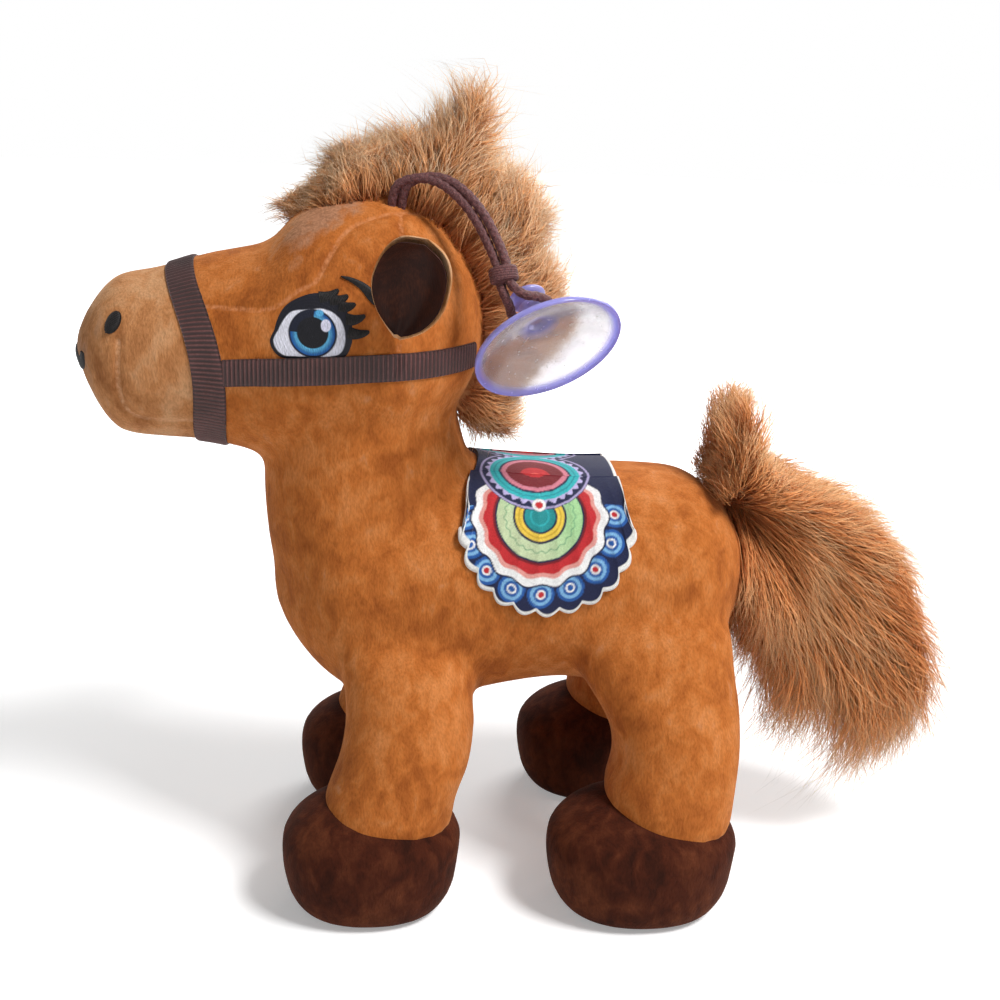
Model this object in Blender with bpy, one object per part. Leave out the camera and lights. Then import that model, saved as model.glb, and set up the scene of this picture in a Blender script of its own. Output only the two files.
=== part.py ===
"""A stuffed toy horse, about 20 cm long, with a halter, a saddle cloth and a suction cup to hang it by.

The horse faces -X, its left side is -Y and it stands on the plane z = 0. The stuffed forms are lofts
of rounded rings. A form that presses into another is cut by the larger one, as covers are sewn
together, and every piece that lies on a form is a slice of that form's own skin.
"""

from __future__ import annotations

import math
from dataclasses import dataclass

import bmesh
import bpy
from mathutils import Vector

MM = 0.001

# Whole toy
GAP = 0.3 * MM
OVERRUN = 30.0 * MM
LEFT, RIGHT = -1, 1

# Torso
TORSO_FRONT_X = -60.6 * MM
TORSO_LENGTH = 110.5 * MM
TORSO_BOTTOM_Z = 41.5 * MM
TORSO_HEIGHT = 55.8 * MM
TORSO_WIDTH = 53.0 * MM
TORSO_SHARES = (
    (0.00, 0.16, 0.80, 0.80),
    (0.10, 0.07, 0.92, 0.90),
    (0.22, 0.00, 0.99, 0.97),
    (0.38, 0.01, 1.00, 1.00),
    (0.52, 0.06, 0.985, 0.98),
    (0.62, 0.075, 0.975, 0.98),
    (0.74, 0.03, 0.975, 1.01),
    (0.88, 0.08, 0.955, 0.99),
    (1.00, 0.22, 0.91, 0.88),
)
TORSO_CHEST_ROUND_SHARE = 0.18
TORSO_RUMP_ROUND_SHARE = 0.17

# Neck
NECK_SEAT = 24.5 * MM
NECK_BOTTOM_Z = TORSO_BOTTOM_Z + NECK_SEAT
NECK_HEIGHT = 46.0 * MM
NECK_LEAD = 2.0 * MM
NECK_FRONT_X = TORSO_FRONT_X - NECK_LEAD
NECK_DEPTH = 62.0 * MM
NECK_WIDTH = 49.0 * MM
NECK_SHARES = (
    (0.00, 0.06, 1.00, 1.00),
    (0.26, 0.02, 0.95, 0.96),
    (0.50, 0.00, 0.80, 0.89),
    (0.68, 0.00, 0.76, 0.86),
    (0.85, 0.02, 0.73, 0.83),
    (1.00, 0.06, 0.70, 0.80),
)

# Head and muzzle, one skin with a seam under the noseband
HEAD_LENGTH = 89.8 * MM
HEAD_HEIGHT = 59.0 * MM
HEAD_WIDTH = 49.0 * MM
HEAD_OVERHANG = 39.4 * MM
MUZZLE_X = NECK_FRONT_X - HEAD_OVERHANG
CHIN_ABOVE_NECK_BOTTOM = 31.3 * MM
CHIN_Z = NECK_BOTTOM_Z + CHIN_ABOVE_NECK_BOTTOM
HEAD_SHARES = (
    (0.00, 0.24, 0.60, 0.60),
    (0.09, 0.10, 0.68, 0.64),
    (0.20, 0.075, 0.715, 0.70),
    (0.30, 0.065, 0.765, 0.72),
    (0.40, 0.03, 0.80, 0.79),
    (0.47, 0.005, 0.83, 0.87),
    (0.53, 0.00, 0.925, 0.93),
    (0.62, 0.00, 0.98, 0.98),
    (0.74, 0.01, 1.00, 1.00),
    (0.86, 0.03, 0.985, 0.98),
    (1.00, 0.10, 0.93, 0.92),
)
HEAD_NOSE_ROUND_SHARE = 0.12
HEAD_BACK_ROUND_SHARE = 0.27

# Legs
LEG_BOTTOM_Z = 19.0 * MM
FRONT_LEG_HEIGHT = 48.0 * MM
FRONT_LEG_SET = 11.1 * MM
FRONT_LEG_X = TORSO_FRONT_X + FRONT_LEG_SET
FRONT_LEG_DEPTH = 36.0 * MM
FRONT_LEG_WIDTH = 28.0 * MM
FRONT_GAUGE = 26.0 * MM
FRONT_LEG_TUCK = 11.0 * MM
RIGHT_FORELEG_SET_BACK = 2.4 * MM
FRONT_LEG_SHARES = (
    (0.00, 0.00, 0.84, 1.00, 0.00),
    (0.16, 0.03, 0.86, 1.00, 0.03),
    (0.32, 0.11, 0.94, 1.00, 0.14),
    (0.48, 0.15, 0.97, 0.98, 0.33),
    (0.66, 0.14, 0.955, 0.94, 0.58),
    (0.84, 0.10, 0.95, 0.86, 0.82),
    (1.00, 0.12, 0.90, 0.76, 1.00),
)
HIND_LEG_HEIGHT = 55.0 * MM
HIND_LEG_SET = 66.1 * MM
HIND_LEG_X = TORSO_FRONT_X + HIND_LEG_SET
HIND_LEG_DEPTH = 39.5 * MM
HIND_LEG_WIDTH = 29.0 * MM
HIND_GAUGE = 29.0 * MM
HIND_LEG_TUCK = 12.5 * MM
HIND_LEG_SHARES = (
    (0.00, 0.27, 0.95, 0.98, 0.00),
    (0.16, 0.20, 0.97, 1.00, 0.04),
    (0.30, 0.25, 0.99, 1.00, 0.14),
    (0.42, 0.23, 0.995, 1.00, 0.28),
    (0.52, 0.16, 0.99, 0.99, 0.42),
    (0.66, 0.04, 0.97, 0.96, 0.63),
    (0.84, 0.04, 0.95, 0.88, 0.86),
    (1.00, 0.14, 0.90, 0.74, 1.00),
)
LEG_TOP_ROUND_SHARE = 0.24

# Hooves, with flat soles
HOOF_HEIGHT = 28.5 * MM
HOOF_TOP_ROUND_SHARE = 0.42
FRONT_HOOF_LEAD = 8.3 * MM
FRONT_HOOF_X = FRONT_LEG_X - FRONT_HOOF_LEAD
FRONT_HOOF_LENGTH = 40.2 * MM
FRONT_HOOF_WIDTH = 33.0 * MM
HIND_HOOF_LEAD = 4.3 * MM
HIND_HOOF_X = HIND_LEG_X - HIND_HOOF_LEAD
HIND_HOOF_LENGTH = 43.4 * MM
HIND_HOOF_WIDTH = 35.0 * MM
HOOF_SHARES = (
    (0.00, 0.145, 0.86, 0.76),
    (0.03, 0.105, 0.895, 0.82),
    (0.09, 0.068, 0.925, 0.88),
    (0.20, 0.03, 0.965, 0.94),
    (0.45, 0.00, 0.99, 1.00),
    (0.68, 0.005, 1.00, 1.00),
    (1.00, 0.04, 0.93, 0.96),
)

# Ribbon halter
RIBBON_THICKNESS = 0.8 * MM
NOSEBAND_WIDTH = 6.3 * MM
NOSEBAND_SET = 26.6 * MM
NOSEBAND_RISE = 24.5 * MM
NOSEBAND_X = MUZZLE_X + NOSEBAND_SET
NOSEBAND_Z = CHIN_Z + NOSEBAND_RISE
NOSEBAND_LEAN = math.radians(10.5)
CHEEK_STRAP_WIDTH = 5.7 * MM
CHEEK_STRAP_FRONT_RISE = 21.3 * MM
CHEEK_STRAP_BACK_RISE = 25.3 * MM
CHEEK_STRAP_LENGTH = 58.9 * MM
CHEEK_STRAP_FRONT_Z = CHIN_Z + CHEEK_STRAP_FRONT_RISE
CHEEK_STRAP_BACK_Z = CHIN_Z + CHEEK_STRAP_BACK_RISE
CHEEK_STRAP_END_X = NOSEBAND_X + CHEEK_STRAP_LENGTH

# Saddle cloth
FELT_THICKNESS = 1.0 * MM
SADDLE_SET = 60.2 * MM
SADDLE_RISE = 46.3 * MM
SADDLE_X = TORSO_FRONT_X + SADDLE_SET
SADDLE_Z = TORSO_BOTTOM_Z + SADDLE_RISE
SADDLE_RADIUS = 18.2 * MM
SCALLOP_DEPTH = 1.4 * MM
SCALLOP_COUNT = 11
SCALLOP_POINTS = 5
SADDLE_TOP_WIDTH = 28.0 * MM
SADDLE_HINGE_Y = 10.0 * MM
SADDLE_NECK_CLEARANCE = 1.2 * MM

# Embroidered face marks
STITCH_HEIGHT = 0.8 * MM
EYE_SET = 50.8 * MM
EYE_RISE = 32.6 * MM
EYE_X = MUZZLE_X + EYE_SET
EYE_Z = CHIN_Z + EYE_RISE
EYE_WIDTH = 15.6 * MM
EYE_HEIGHT = 15.2 * MM
EYE_POINTS = 20
EYE_ALMOND_SHARE = 0.06
NOSTRIL_SET = 10.8 * MM
NOSTRIL_RISE = 31.3 * MM
NOSTRIL_X = MUZZLE_X + NOSTRIL_SET
NOSTRIL_Z = CHIN_Z + NOSTRIL_RISE
NOSTRIL_LENGTH = 4.9 * MM
NOSTRIL_WIDTH = 2.4 * MM
NOSTRIL_SLANT = math.radians(58.0)
MOUTH_CORNER_RISE = 21.3 * MM
MOUTH_Z = CHIN_Z + MOUTH_CORNER_RISE
MOUTH_SPAN = 15.0 * MM
MOUTH_RISE = 3.4 * MM
MOUTH_THREAD = 1.5 * MM
MOUTH_DEPTH = 12.0 * MM
MOUTH_STITCH_HEIGHT = 0.6 * MM

# Ears
EAR_SET = 69.0 * MM
EAR_RISE = 31.2 * MM
EAR_X = MUZZLE_X + EAR_SET
EAR_Z = CHIN_Z + EAR_RISE
EAR_STAND_OFF = 0.4 * MM
EAR_LENGTH = 22.5 * MM
EAR_WIDTH = 15.8 * MM
EAR_CUP_DEPTH = 5.2 * MM
EAR_THICKNESS = 2.2 * MM
EAR_LINING_THICKNESS = 0.8 * MM
EAR_LINING_MARGIN_SHARE = 0.14
EAR_TIP_SHARES = (0.30, 0.22, 0.93)
EAR_FACE_SHARES = (-0.36, 0.92, -0.13)
EAR_OUTLINE_SHARES = (0.30, 0.60, 0.84, 0.97, 1.00, 0.93, 0.72, 0.34)
EAR_ACROSS = 8
EAR_TIP_CURL_SHARE = 0.33

# Mane and forelock
CRANIUM_SET = 64.0 * MM
CRANIUM_RISE = 29.2 * MM
CRANIUM_X = MUZZLE_X + CRANIUM_SET
CRANIUM_Z = CHIN_Z + CRANIUM_RISE
CRANIUM_HALF_LENGTH = 25.6 * MM
CRANIUM_HALF_HEIGHT = 29.5 * MM
MANE_REACH = 29.0 * MM
MANE_THICKNESS = 17.0 * MM
MANE_ROOT_SHARE = 0.80
MANE_SHARES = (
    (126.0, 160.0, 0.16, 0.34),
    (120.0, 150.0, 0.46, 0.62),
    (112.0, 125.0, 0.46, 0.82),
    (103.0, 104.0, 0.48, 0.92),
    (92.0, 94.0, 0.55, 1.00),
    (80.0, 88.0, 0.66, 1.00),
    (66.0, 79.0, 0.85, 1.00),
    (52.0, 72.0, 0.92, 1.00),
    (38.0, 57.0, 0.74, 1.00),
    (22.0, 44.0, 0.70, 1.00),
    (6.0, 28.0, 0.66, 0.98),
    (-11.0, 6.0, 0.57, 0.94),
    (-27.0, -18.0, 0.46, 0.84),
    (-40.0, -30.0, 0.28, 0.60),
)
MANE_PARTING_SHARE = 0.25
MANE_PARTING_GAP_SHARE = 0.006
CREST_SIDE_COUNT = 14
MANE_RINGS = 18
FORELOCK_RINGS = 7

# Tail
TAIL_ROOT_INSET = 5.9 * MM
TAIL_ROOT_RISE = 48.0 * MM
TAIL_ROOT_X = TORSO_FRONT_X + TORSO_LENGTH - TAIL_ROOT_INSET
TAIL_ROOT_Z = TORSO_BOTTOM_Z + TAIL_ROOT_RISE
TAIL_ROOT_RADIUS = 5.0 * MM
TAIL_REACH = 59.15 * MM
TAIL_DROP = 74.0 * MM
TAIL_THICKNESS = 32.0 * MM
TAIL_SHARES = (
    (0.00, 0.30, 0.00, 0.05, 0.30),
    (0.12, 0.21, 0.06, -0.06, 0.50),
    (0.28, 0.07, 0.13, -0.22, 0.70),
    (0.46, 0.04, 0.15, -0.40, 0.86),
    (0.64, -0.05, 0.17, -0.58, 0.96),
    (0.79, -0.17, 0.24, -0.74, 1.00),
    (0.90, -0.36, 0.37, -0.86, 0.94),
    (0.97, -0.57, 0.52, -0.92, 0.80),
    (1.00, -0.76, 0.66, -0.97, 0.60),
    (0.94, -0.90, 0.80, -1.01, 0.30),
)
TAIL_CLEARANCE = 3.0 * MM
TAIL_RINGS = 18
BALL_STEPS = 8

# Suction cup, turned about its axis from the rim plane
CUP_CENTRE = Vector((-3.0 * MM, -29.0 * MM, 127.0 * MM))
CUP_AXIS_SHARES = (-0.272, 0.690, 0.671)
CUP_RADIUS = 15.6 * MM
CUP_LIP = 0.9 * MM
CUP_DOME_HEIGHT = 8.6 * MM
CUP_HOLLOW_DEPTH = 5.2 * MM
CUP_FLARE_POWER = 1.15
CUP_WALL = 1.6 * MM
CUP_NECK_RADIUS = 2.5 * MM
CUP_NECK_HEIGHT = 3.2 * MM
CUP_KNOB_RADIUS = 4.0 * MM
CUP_KNOB_HEIGHT = 3.2 * MM
CUP_SIDE_COUNT = 28
CUP_DOME_STEPS = 6

# Hanging cord: a loop from the crown round the neck of the suction cup and back
CORD_DIAMETER = 1.9 * MM
CORD_LOOP_RADIUS = 3.8 * MM
CORD_PITCH = 2.7 * MM
CORD_POINT_COUNT = 46
CORD_CROWN_SET = 68.5 * MM
CORD_CROWN_X = MUZZLE_X + CORD_CROWN_SET
CORD_CROWN_Y = -10.2 * MM
CORD_HINGE_LIFT = 1.3 * MM
CORD_ROUTE = (
    Vector((-32.4, -10.7, 157.3)) * MM,
    Vector((-28.8, -11.8, 159.2)) * MM,
    Vector((-24.2, -13.4, 158.8)) * MM,
    Vector((-20.0, -15.4, 156.0)) * MM,
    Vector((-16.6, -17.8, 151.9)) * MM,
    Vector((-14.0, -20.6, 147.0)) * MM,
    Vector((-12.5, -23.2, 143.2)) * MM,
    Vector((-11.8, -24.9, 139.6)) * MM,
)
CORD_TURNS = (
    Vector((3.0, 3.3, 0.0)) * MM,
    Vector((5.4, 2.1, 0.2)) * MM,
    Vector((7.4, 1.4, 1.3)) * MM,
)
CORD_ARC_STEPS = 6
BINDING_RADIUS = 3.0 * MM
BINDING_LENGTH = 3.6 * MM
BINDING_SIDE_COUNT = 12
BINDING_END_SHARE = 0.8

PLUSH = ("plush_caramel", (0.56, 0.21, 0.055), 0.9)
MUZZLE_PLUSH = ("plush_muzzle", (0.62, 0.27, 0.10), 0.9)
HOOF_PLUSH = ("plush_chocolate", (0.085, 0.020, 0.008), 0.9)
FUR = ("long_fur", (0.50, 0.24, 0.10), 0.85)
RIBBON = ("ribbon_brown", (0.055, 0.018, 0.018), 0.6)
EAR_SATIN = ("ear_lining_brown", (0.045, 0.012, 0.007), 0.5)
FELT = ("printed_felt", (0.30, 0.45, 0.40), 0.9)
EYE_THREAD = ("eye_thread", (0.20, 0.45, 0.75), 0.5)
BLACK_THREAD = ("black_thread", (0.006, 0.005, 0.005), 0.5)
CORD_BRAID = ("cord_braid", (0.11, 0.028, 0.028), 0.6)
CUP_PLASTIC = ("clear_soft_plastic", (0.45, 0.45, 0.85), 0.15)


def clear_scene():
    """Remove every object of the scene that the script starts in."""
    for item in list(bpy.data.objects):
        bpy.data.objects.remove(item, do_unlink=True)


def material(finish):
    """The Principled material of one finish, made once."""
    name, colour, roughness = finish
    found = bpy.data.materials.get(name)
    if found:
        return found
    made = bpy.data.materials.new(name)
    made.use_nodes = True
    shader = made.node_tree.nodes["Principled BSDF"]
    shader.inputs["Base Color"].default_value = (*colour, 1.0)
    shader.inputs["Roughness"].default_value = roughness
    shader.inputs["Metallic"].default_value = 0.0
    return made


def add_object(name, points, faces, finish=None, origin=None):
    """A closed mesh object with its faces pointing out, shaded smooth.

    Without a finish it is a cutter, which is hidden and drawn as a wire.
    """
    origin = origin or Vector((0.0, 0.0, 0.0))
    mesh = bpy.data.meshes.new(name)
    mesh.from_pydata([tuple(Vector(p) - origin) for p in points], [], faces)
    shaped = bmesh.new()
    shaped.from_mesh(mesh)
    bmesh.ops.recalc_face_normals(shaped, faces=shaped.faces)
    shaped.to_mesh(mesh)
    shaped.free()
    mesh.shade_smooth()
    item = bpy.data.objects.new(name, mesh)
    item.location = origin
    bpy.context.scene.collection.objects.link(item)
    if finish:
        mesh.materials.append(material(finish))
    else:
        item.hide_render = True
        item.display_type = "WIRE"
    return item


def boolean(item, cutter, operation="DIFFERENCE"):
    """Cut an object with a cutter, or keep what both share."""
    step = item.modifiers.new(cutter.name, "BOOLEAN")
    step.object = cutter
    step.operation = operation
    step.solver = "EXACT"


def smooth_row(rows, place):
    """The row of a table at a place along its first column, on a smooth curve through the rows."""
    last = len(rows) - 2
    index = min(max(sum(place >= row[0] for row in rows) - 1, 0), last)
    before, start, end = rows[max(index - 1, 0)], rows[index], rows[index + 1]
    after = rows[min(index + 2, last + 1)]
    span = end[0] - start[0]
    t = (place - start[0]) / span
    values = []
    for p, a, b, n in zip(before, start, end, after):
        rise_in = (b - p) / (end[0] - before[0]) * span if before is not start else b - a
        rise_out = (n - a) / (after[0] - start[0]) * span if after is not end else b - a
        values.append(
            a
            + t * rise_in
            + t * t * (3 * (b - a) - 2 * rise_in - rise_out)
            + t**3 * (rise_in + rise_out - 2 * (b - a))
        )
    return values


def end_round(place, at_start, at_end):
    """How far a form has opened at a place: 0 at a rounded tip, 1 past its rounding."""
    opened = 1.0
    if place < at_start:
        opened = min(opened, math.sqrt(max(0.0, 1 - (1 - place / at_start) ** 2)))
    if 1 - place < at_end:
        opened = min(opened, math.sqrt(max(0.0, 1 - (1 - (1 - place) / at_end) ** 2)))
    return opened


def ring_places(count, closes_start, closes_end):
    """Places from 0 to 1 that lie closer together towards a rounded end."""
    places = []
    for step in range(count + 1):
        t = step / count
        if closes_start and closes_end:
            t = (1 - math.cos(math.pi * t)) / 2
        elif closes_end:
            t = math.sin(math.pi * t / 2)
        elif closes_start:
            t = 1 - math.cos(math.pi * t / 2)
        places.append(t)
    return places


def skin_rings(rings):
    """Points and faces of a closed skin over rings; a ring of one point is a pole."""
    points = [p for ring in rings for p in ring]
    faces, first = [], 0
    for lower, upper in zip(rings, rings[1:]):
        second = first + len(lower)
        count = max(len(lower), len(upper))
        for k in range(count):
            n = (k + 1) % count
            if len(lower) == 1:
                faces.append((first, second + n, second + k))
            elif len(upper) == 1:
                faces.append((first + k, first + n, second))
            else:
                faces.append((first + k, first + n, second + n, second + k))
        first = second
    if len(rings[0]) > 1:
        faces.append(tuple(range(len(rings[0]))))
    if len(rings[-1]) > 1:
        faces.append(tuple(range(first, first + len(rings[-1]))))
    return points, faces


@dataclass(frozen=True)
class Form:
    """A stuffed form: rounded rings along X or Z.

    A row of its shares holds the place along, the low side, the high side, the width and, for a
    form that splays, how far it has moved sideways.
    """

    upright: bool
    start: float
    length: float
    low: float
    depth: float
    width: float
    shares: tuple
    round_start: float = 0.0
    round_end: float = 0.0
    side: float = 0.0
    splay: float = 0.0
    sides: int = 24
    rings: int = 16
    fullness: float = 2.25

    def edges(self, place, grow=0.0):
        """Place along, low side, high side, half width and sideways place of one ring."""
        row = smooth_row(self.shares, place)
        opened = end_round(place, self.round_start, self.round_end)
        middle = self.low + self.depth * (row[1] + row[2]) / 2
        half_depth = self.depth * (row[2] - row[1]) / 2 * opened + grow
        half_width = self.width * row[3] / 2 * opened + grow
        along = self.start - grow + (self.length + 2 * grow) * place
        sideways = self.side + self.splay * (row[4] if len(row) > 4 else 0.0)
        return along, middle - half_depth, middle + half_depth, half_width, sideways

    def ring(self, place, grow):
        """The points of one ring, a rounded square to the power of the form's fullness."""
        along, low, high, half_width, sideways = self.edges(place, grow)
        closes = (place == 0 and self.round_start) or (place == 1 and self.round_end)
        count = 1 if closes else self.sides
        points = []
        for k in range(count):
            angle = math.tau * (k + 0.5) / count
            reach = [
                math.copysign(abs(f(angle)) ** (2 / self.fullness), f(angle)) if count > 1 else 0.0
                for f in (math.cos, math.sin)
            ]
            across = (low + high) / 2 + (high - low) / 2 * reach[0]
            sideward = sideways + half_width * reach[1]
            points.append((across, sideward, along) if self.upright else (along, sideward, across))
        return points

    def skin(self, grow=0.0):
        """Points and faces of the whole form, grown all round by a distance."""
        places = ring_places(self.rings, self.round_start > 0, self.round_end > 0)
        return skin_rings([self.ring(place, grow) for place in places])


HEAD = Form(
    upright=False,
    start=MUZZLE_X,
    length=HEAD_LENGTH,
    low=CHIN_Z,
    depth=HEAD_HEIGHT,
    width=HEAD_WIDTH,
    shares=HEAD_SHARES,
    round_start=HEAD_NOSE_ROUND_SHARE,
    round_end=HEAD_BACK_ROUND_SHARE,
    rings=24,
)
NECK = Form(
    upright=True,
    start=NECK_BOTTOM_Z,
    length=NECK_HEIGHT,
    low=NECK_FRONT_X,
    depth=NECK_DEPTH,
    width=NECK_WIDTH,
    shares=NECK_SHARES,
    rings=8,
)
TORSO = Form(
    upright=False,
    start=TORSO_FRONT_X,
    length=TORSO_LENGTH,
    low=TORSO_BOTTOM_Z,
    depth=TORSO_HEIGHT,
    width=TORSO_WIDTH,
    shares=TORSO_SHARES,
    round_start=TORSO_CHEST_ROUND_SHARE,
    round_end=TORSO_RUMP_ROUND_SHARE,
    rings=20,
)


def leg_form(front, side):
    """The form of one leg; its foot stands at the gauge and its top is tucked in to the body."""
    if front:
        sizes = (FRONT_LEG_HEIGHT, FRONT_LEG_X, FRONT_LEG_DEPTH, FRONT_LEG_WIDTH, FRONT_LEG_SHARES)
        gauge, tuck = FRONT_GAUGE, FRONT_LEG_TUCK
    else:
        sizes = (HIND_LEG_HEIGHT, HIND_LEG_X, HIND_LEG_DEPTH, HIND_LEG_WIDTH, HIND_LEG_SHARES)
        gauge, tuck = HIND_GAUGE, HIND_LEG_TUCK
    height, low, depth, width, shares = sizes
    low += RIGHT_FORELEG_SET_BACK if front and side == RIGHT else 0.0
    return Form(
        upright=True,
        start=LEG_BOTTOM_Z,
        length=height,
        low=low,
        depth=depth,
        width=width,
        shares=shares,
        round_end=LEG_TOP_ROUND_SHARE,
        side=side * gauge,
        splay=-side * tuck,
        sides=20,
        rings=10,
    )


def hoof_form(front, side):
    """The form of one hoof, flat below and domed above, where the leg sits on it."""
    set_back = RIGHT_FORELEG_SET_BACK if front and side == RIGHT else 0.0
    return Form(
        upright=True,
        start=0.0,
        length=HOOF_HEIGHT,
        low=FRONT_HOOF_X + set_back if front else HIND_HOOF_X,
        depth=FRONT_HOOF_LENGTH if front else HIND_HOOF_LENGTH,
        width=FRONT_HOOF_WIDTH if front else HIND_HOOF_WIDTH,
        shares=HOOF_SHARES,
        round_end=HOOF_TOP_ROUND_SHARE,
        side=side * (FRONT_GAUGE if front else HIND_GAUGE),
        sides=20,
        rings=10,
    )


def add_form(name, form, finish=None, grow=0.0):
    """A form as an object, or as a cutter when it has no finish."""
    points, faces = form.skin(grow)
    return add_object(name, points, faces, finish)


def cutter_of(name, form):
    """The form grown by the gap that pieces keep, as a cutter."""
    return add_form(name, form, grow=GAP)


def add_prism(name, outline, low_y, high_y):
    """A cutter with an outline of (x, z) points, running along Y."""
    rings = [[(x, y, z) for x, z in outline] for y in (low_y, high_y)]
    return add_object(name, *skin_rings(rings))


def lay_on(name, form, outline, finish, thickness, low_y, high_y, origin=None):
    """A thin piece that lies on a form: the slice of its grown skin inside an outline."""
    points, faces = form.skin(GAP + thickness)
    item = add_object(name, points, faces, finish, origin)
    boolean(item, add_form(name + "_bed", form, grow=GAP))
    boolean(item, add_prism(name + "_outline", outline, low_y, high_y), "INTERSECT")
    return item


def side_of(side):
    """The Y range of one side of the toy, from just past its middle plane."""
    reach = HEAD_WIDTH + OVERRUN
    return (-reach, -GAP) if side == LEFT else (GAP, reach)


def band_outline(width, from_z, to_z):
    """The leaning strip of the noseband seen from the side."""
    outline = []
    for edge, z in ((-1, from_z), (1, from_z), (1, to_z), (-1, to_z)):
        middle = NOSEBAND_X - (z - NOSEBAND_Z) * math.tan(NOSEBAND_LEAN)
        outline.append((middle + edge * width / 2, z))
    return outline


def strap_outline(margin=0.0):
    """The strip of the cheek strap seen from the side, grown by a margin."""
    half = CHEEK_STRAP_WIDTH / 2 + margin
    return [
        (NOSEBAND_X, CHEEK_STRAP_FRONT_Z - half),
        (CHEEK_STRAP_END_X + margin, CHEEK_STRAP_BACK_Z - half),
        (CHEEK_STRAP_END_X + margin, CHEEK_STRAP_BACK_Z + half),
        (NOSEBAND_X, CHEEK_STRAP_FRONT_Z + half),
    ]


def make_head():
    """Head and muzzle, parted at the seam under the noseband, with the neck below them."""
    low, high = CHIN_Z - OVERRUN, CHIN_Z + HEAD_HEIGHT + OVERRUN
    seam = band_outline(GAP, low, high)
    before = [(MUZZLE_X - OVERRUN, low), seam[0], seam[3], (MUZZLE_X - OVERRUN, high)]
    back = MUZZLE_X + HEAD_LENGTH + OVERRUN
    behind = [seam[1], (back, low), (back, high), seam[2]]
    for name, outline, finish in (("muzzle", before, MUZZLE_PLUSH), ("head", behind, PLUSH)):
        item = add_form(name, HEAD, finish)
        boolean(item, add_prism(name + "_seam", outline, -HEAD_WIDTH, HEAD_WIDTH), "INTERSECT")
    neck = add_form("neck", NECK, PLUSH)
    boolean(neck, cutter_of("head_in_neck", HEAD))
    boolean(neck, cutter_of("torso_in_neck", TORSO))


def make_legs():
    """Four legs cut by the torso and the neck, each seated on its hoof."""
    torso, neck = cutter_of("torso_in_legs", TORSO), cutter_of("neck_in_legs", NECK)
    for front, end in ((True, "front"), (False, "hind")):
        for side, hand in ((LEFT, "left"), (RIGHT, "right")):
            leg = add_form(f"leg_{end}_{hand}", leg_form(front, side), PLUSH)
            add_form(f"hoof_{end}_{hand}", hoof_form(front, side), HOOF_PLUSH)
            boolean(leg, torso)
            if front:
                boolean(leg, neck)
            boolean(leg, cutter_of(f"hoof_in_leg_{end}_{hand}", hoof_form(front, side)))


def make_halter():
    """Noseband round the seam and a cheek strap on each side."""
    low, high = CHIN_Z - OVERRUN, CHIN_Z + HEAD_HEIGHT + OVERRUN
    band = band_outline(NOSEBAND_WIDTH, low, high)
    lay_on("noseband", HEAD, band, RIBBON, RIBBON_THICKNESS, -HEAD_WIDTH, HEAD_WIDTH)
    wide_band = band_outline(NOSEBAND_WIDTH + 2 * GAP, low, high)
    band_cutter = add_prism("noseband_in_straps", wide_band, -HEAD_WIDTH, HEAD_WIDTH)
    for side, hand in ((LEFT, "left"), (RIGHT, "right")):
        strap = lay_on(
            f"cheek_strap_{hand}", HEAD, strap_outline(), RIBBON, RIBBON_THICKNESS, *side_of(side)
        )
        boolean(strap, band_cutter)


def eye_outline():
    """A round eye that narrows a little above and below."""
    outline = []
    for k in range(EYE_POINTS):
        angle = math.tau * k / EYE_POINTS
        across, up = math.cos(angle), math.sin(angle)
        fullness_share = 1 - EYE_ALMOND_SHARE * (1 - math.cos(2 * angle))
        outline.append(
            (
                EYE_X + EYE_WIDTH / 2 * across * fullness_share,
                EYE_Z + EYE_HEIGHT / 2 * up * fullness_share,
            )
        )
    return outline


def nostril_outline():
    """A slanting oval of satin stitches."""
    outline = []
    for k in range(EYE_POINTS // 2):
        angle = math.tau * k / (EYE_POINTS // 2)
        along, across = NOSTRIL_LENGTH / 2 * math.cos(angle), NOSTRIL_WIDTH / 2 * math.sin(angle)
        turn = NOSTRIL_SLANT
        outline.append(
            (
                NOSTRIL_X + along * math.cos(turn) - across * math.sin(turn),
                NOSTRIL_Z + along * math.sin(turn) + across * math.cos(turn),
            )
        )
    return outline


def make_face():
    """Embroidered eyes above the cheek straps, nostrils and a small stitched mouth."""
    strap = add_prism("strap_in_eyes", strap_outline(GAP), -HEAD_WIDTH, HEAD_WIDTH)
    for side, hand in ((LEFT, "left"), (RIGHT, "right")):
        span = side_of(side)
        eye = lay_on(f"eye_{hand}", HEAD, eye_outline(), EYE_THREAD, STITCH_HEIGHT, *span)
        below = [
            (MUZZLE_X, CHIN_Z),
            (MUZZLE_X + HEAD_LENGTH, CHIN_Z),
            (MUZZLE_X + HEAD_LENGTH, CHEEK_STRAP_FRONT_Z),
            (MUZZLE_X, CHEEK_STRAP_FRONT_Z),
        ]
        boolean(eye, strap)
        boolean(eye, add_prism(f"below_eye_{hand}", below, -HEAD_WIDTH, HEAD_WIDTH))
        lay_on(f"nostril_{hand}", HEAD, nostril_outline(), BLACK_THREAD, STITCH_HEIGHT, *span)
    points, faces = HEAD.skin(GAP + MOUTH_STITCH_HEIGHT)
    mouth = add_object("mouth_stitch", points, faces, BLACK_THREAD)
    boolean(mouth, add_form("mouth_bed", HEAD, grow=GAP))
    half, thread = MOUTH_SPAN / 2, MOUTH_THREAD
    bow = [(-half, 0.0), (0.0, MOUTH_RISE), (half, 0.0), (half, -thread)]
    bow += [(0.0, MOUTH_RISE - thread), (-half, -thread)]
    ends = (MUZZLE_X - MOUTH_DEPTH, MUZZLE_X + MOUTH_DEPTH)
    rings = [[(x, y, MOUTH_Z + z) for y, z in bow] for x in ends]
    boolean(mouth, add_object("mouth_outline", *skin_rings(rings)), "INTERSECT")


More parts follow.
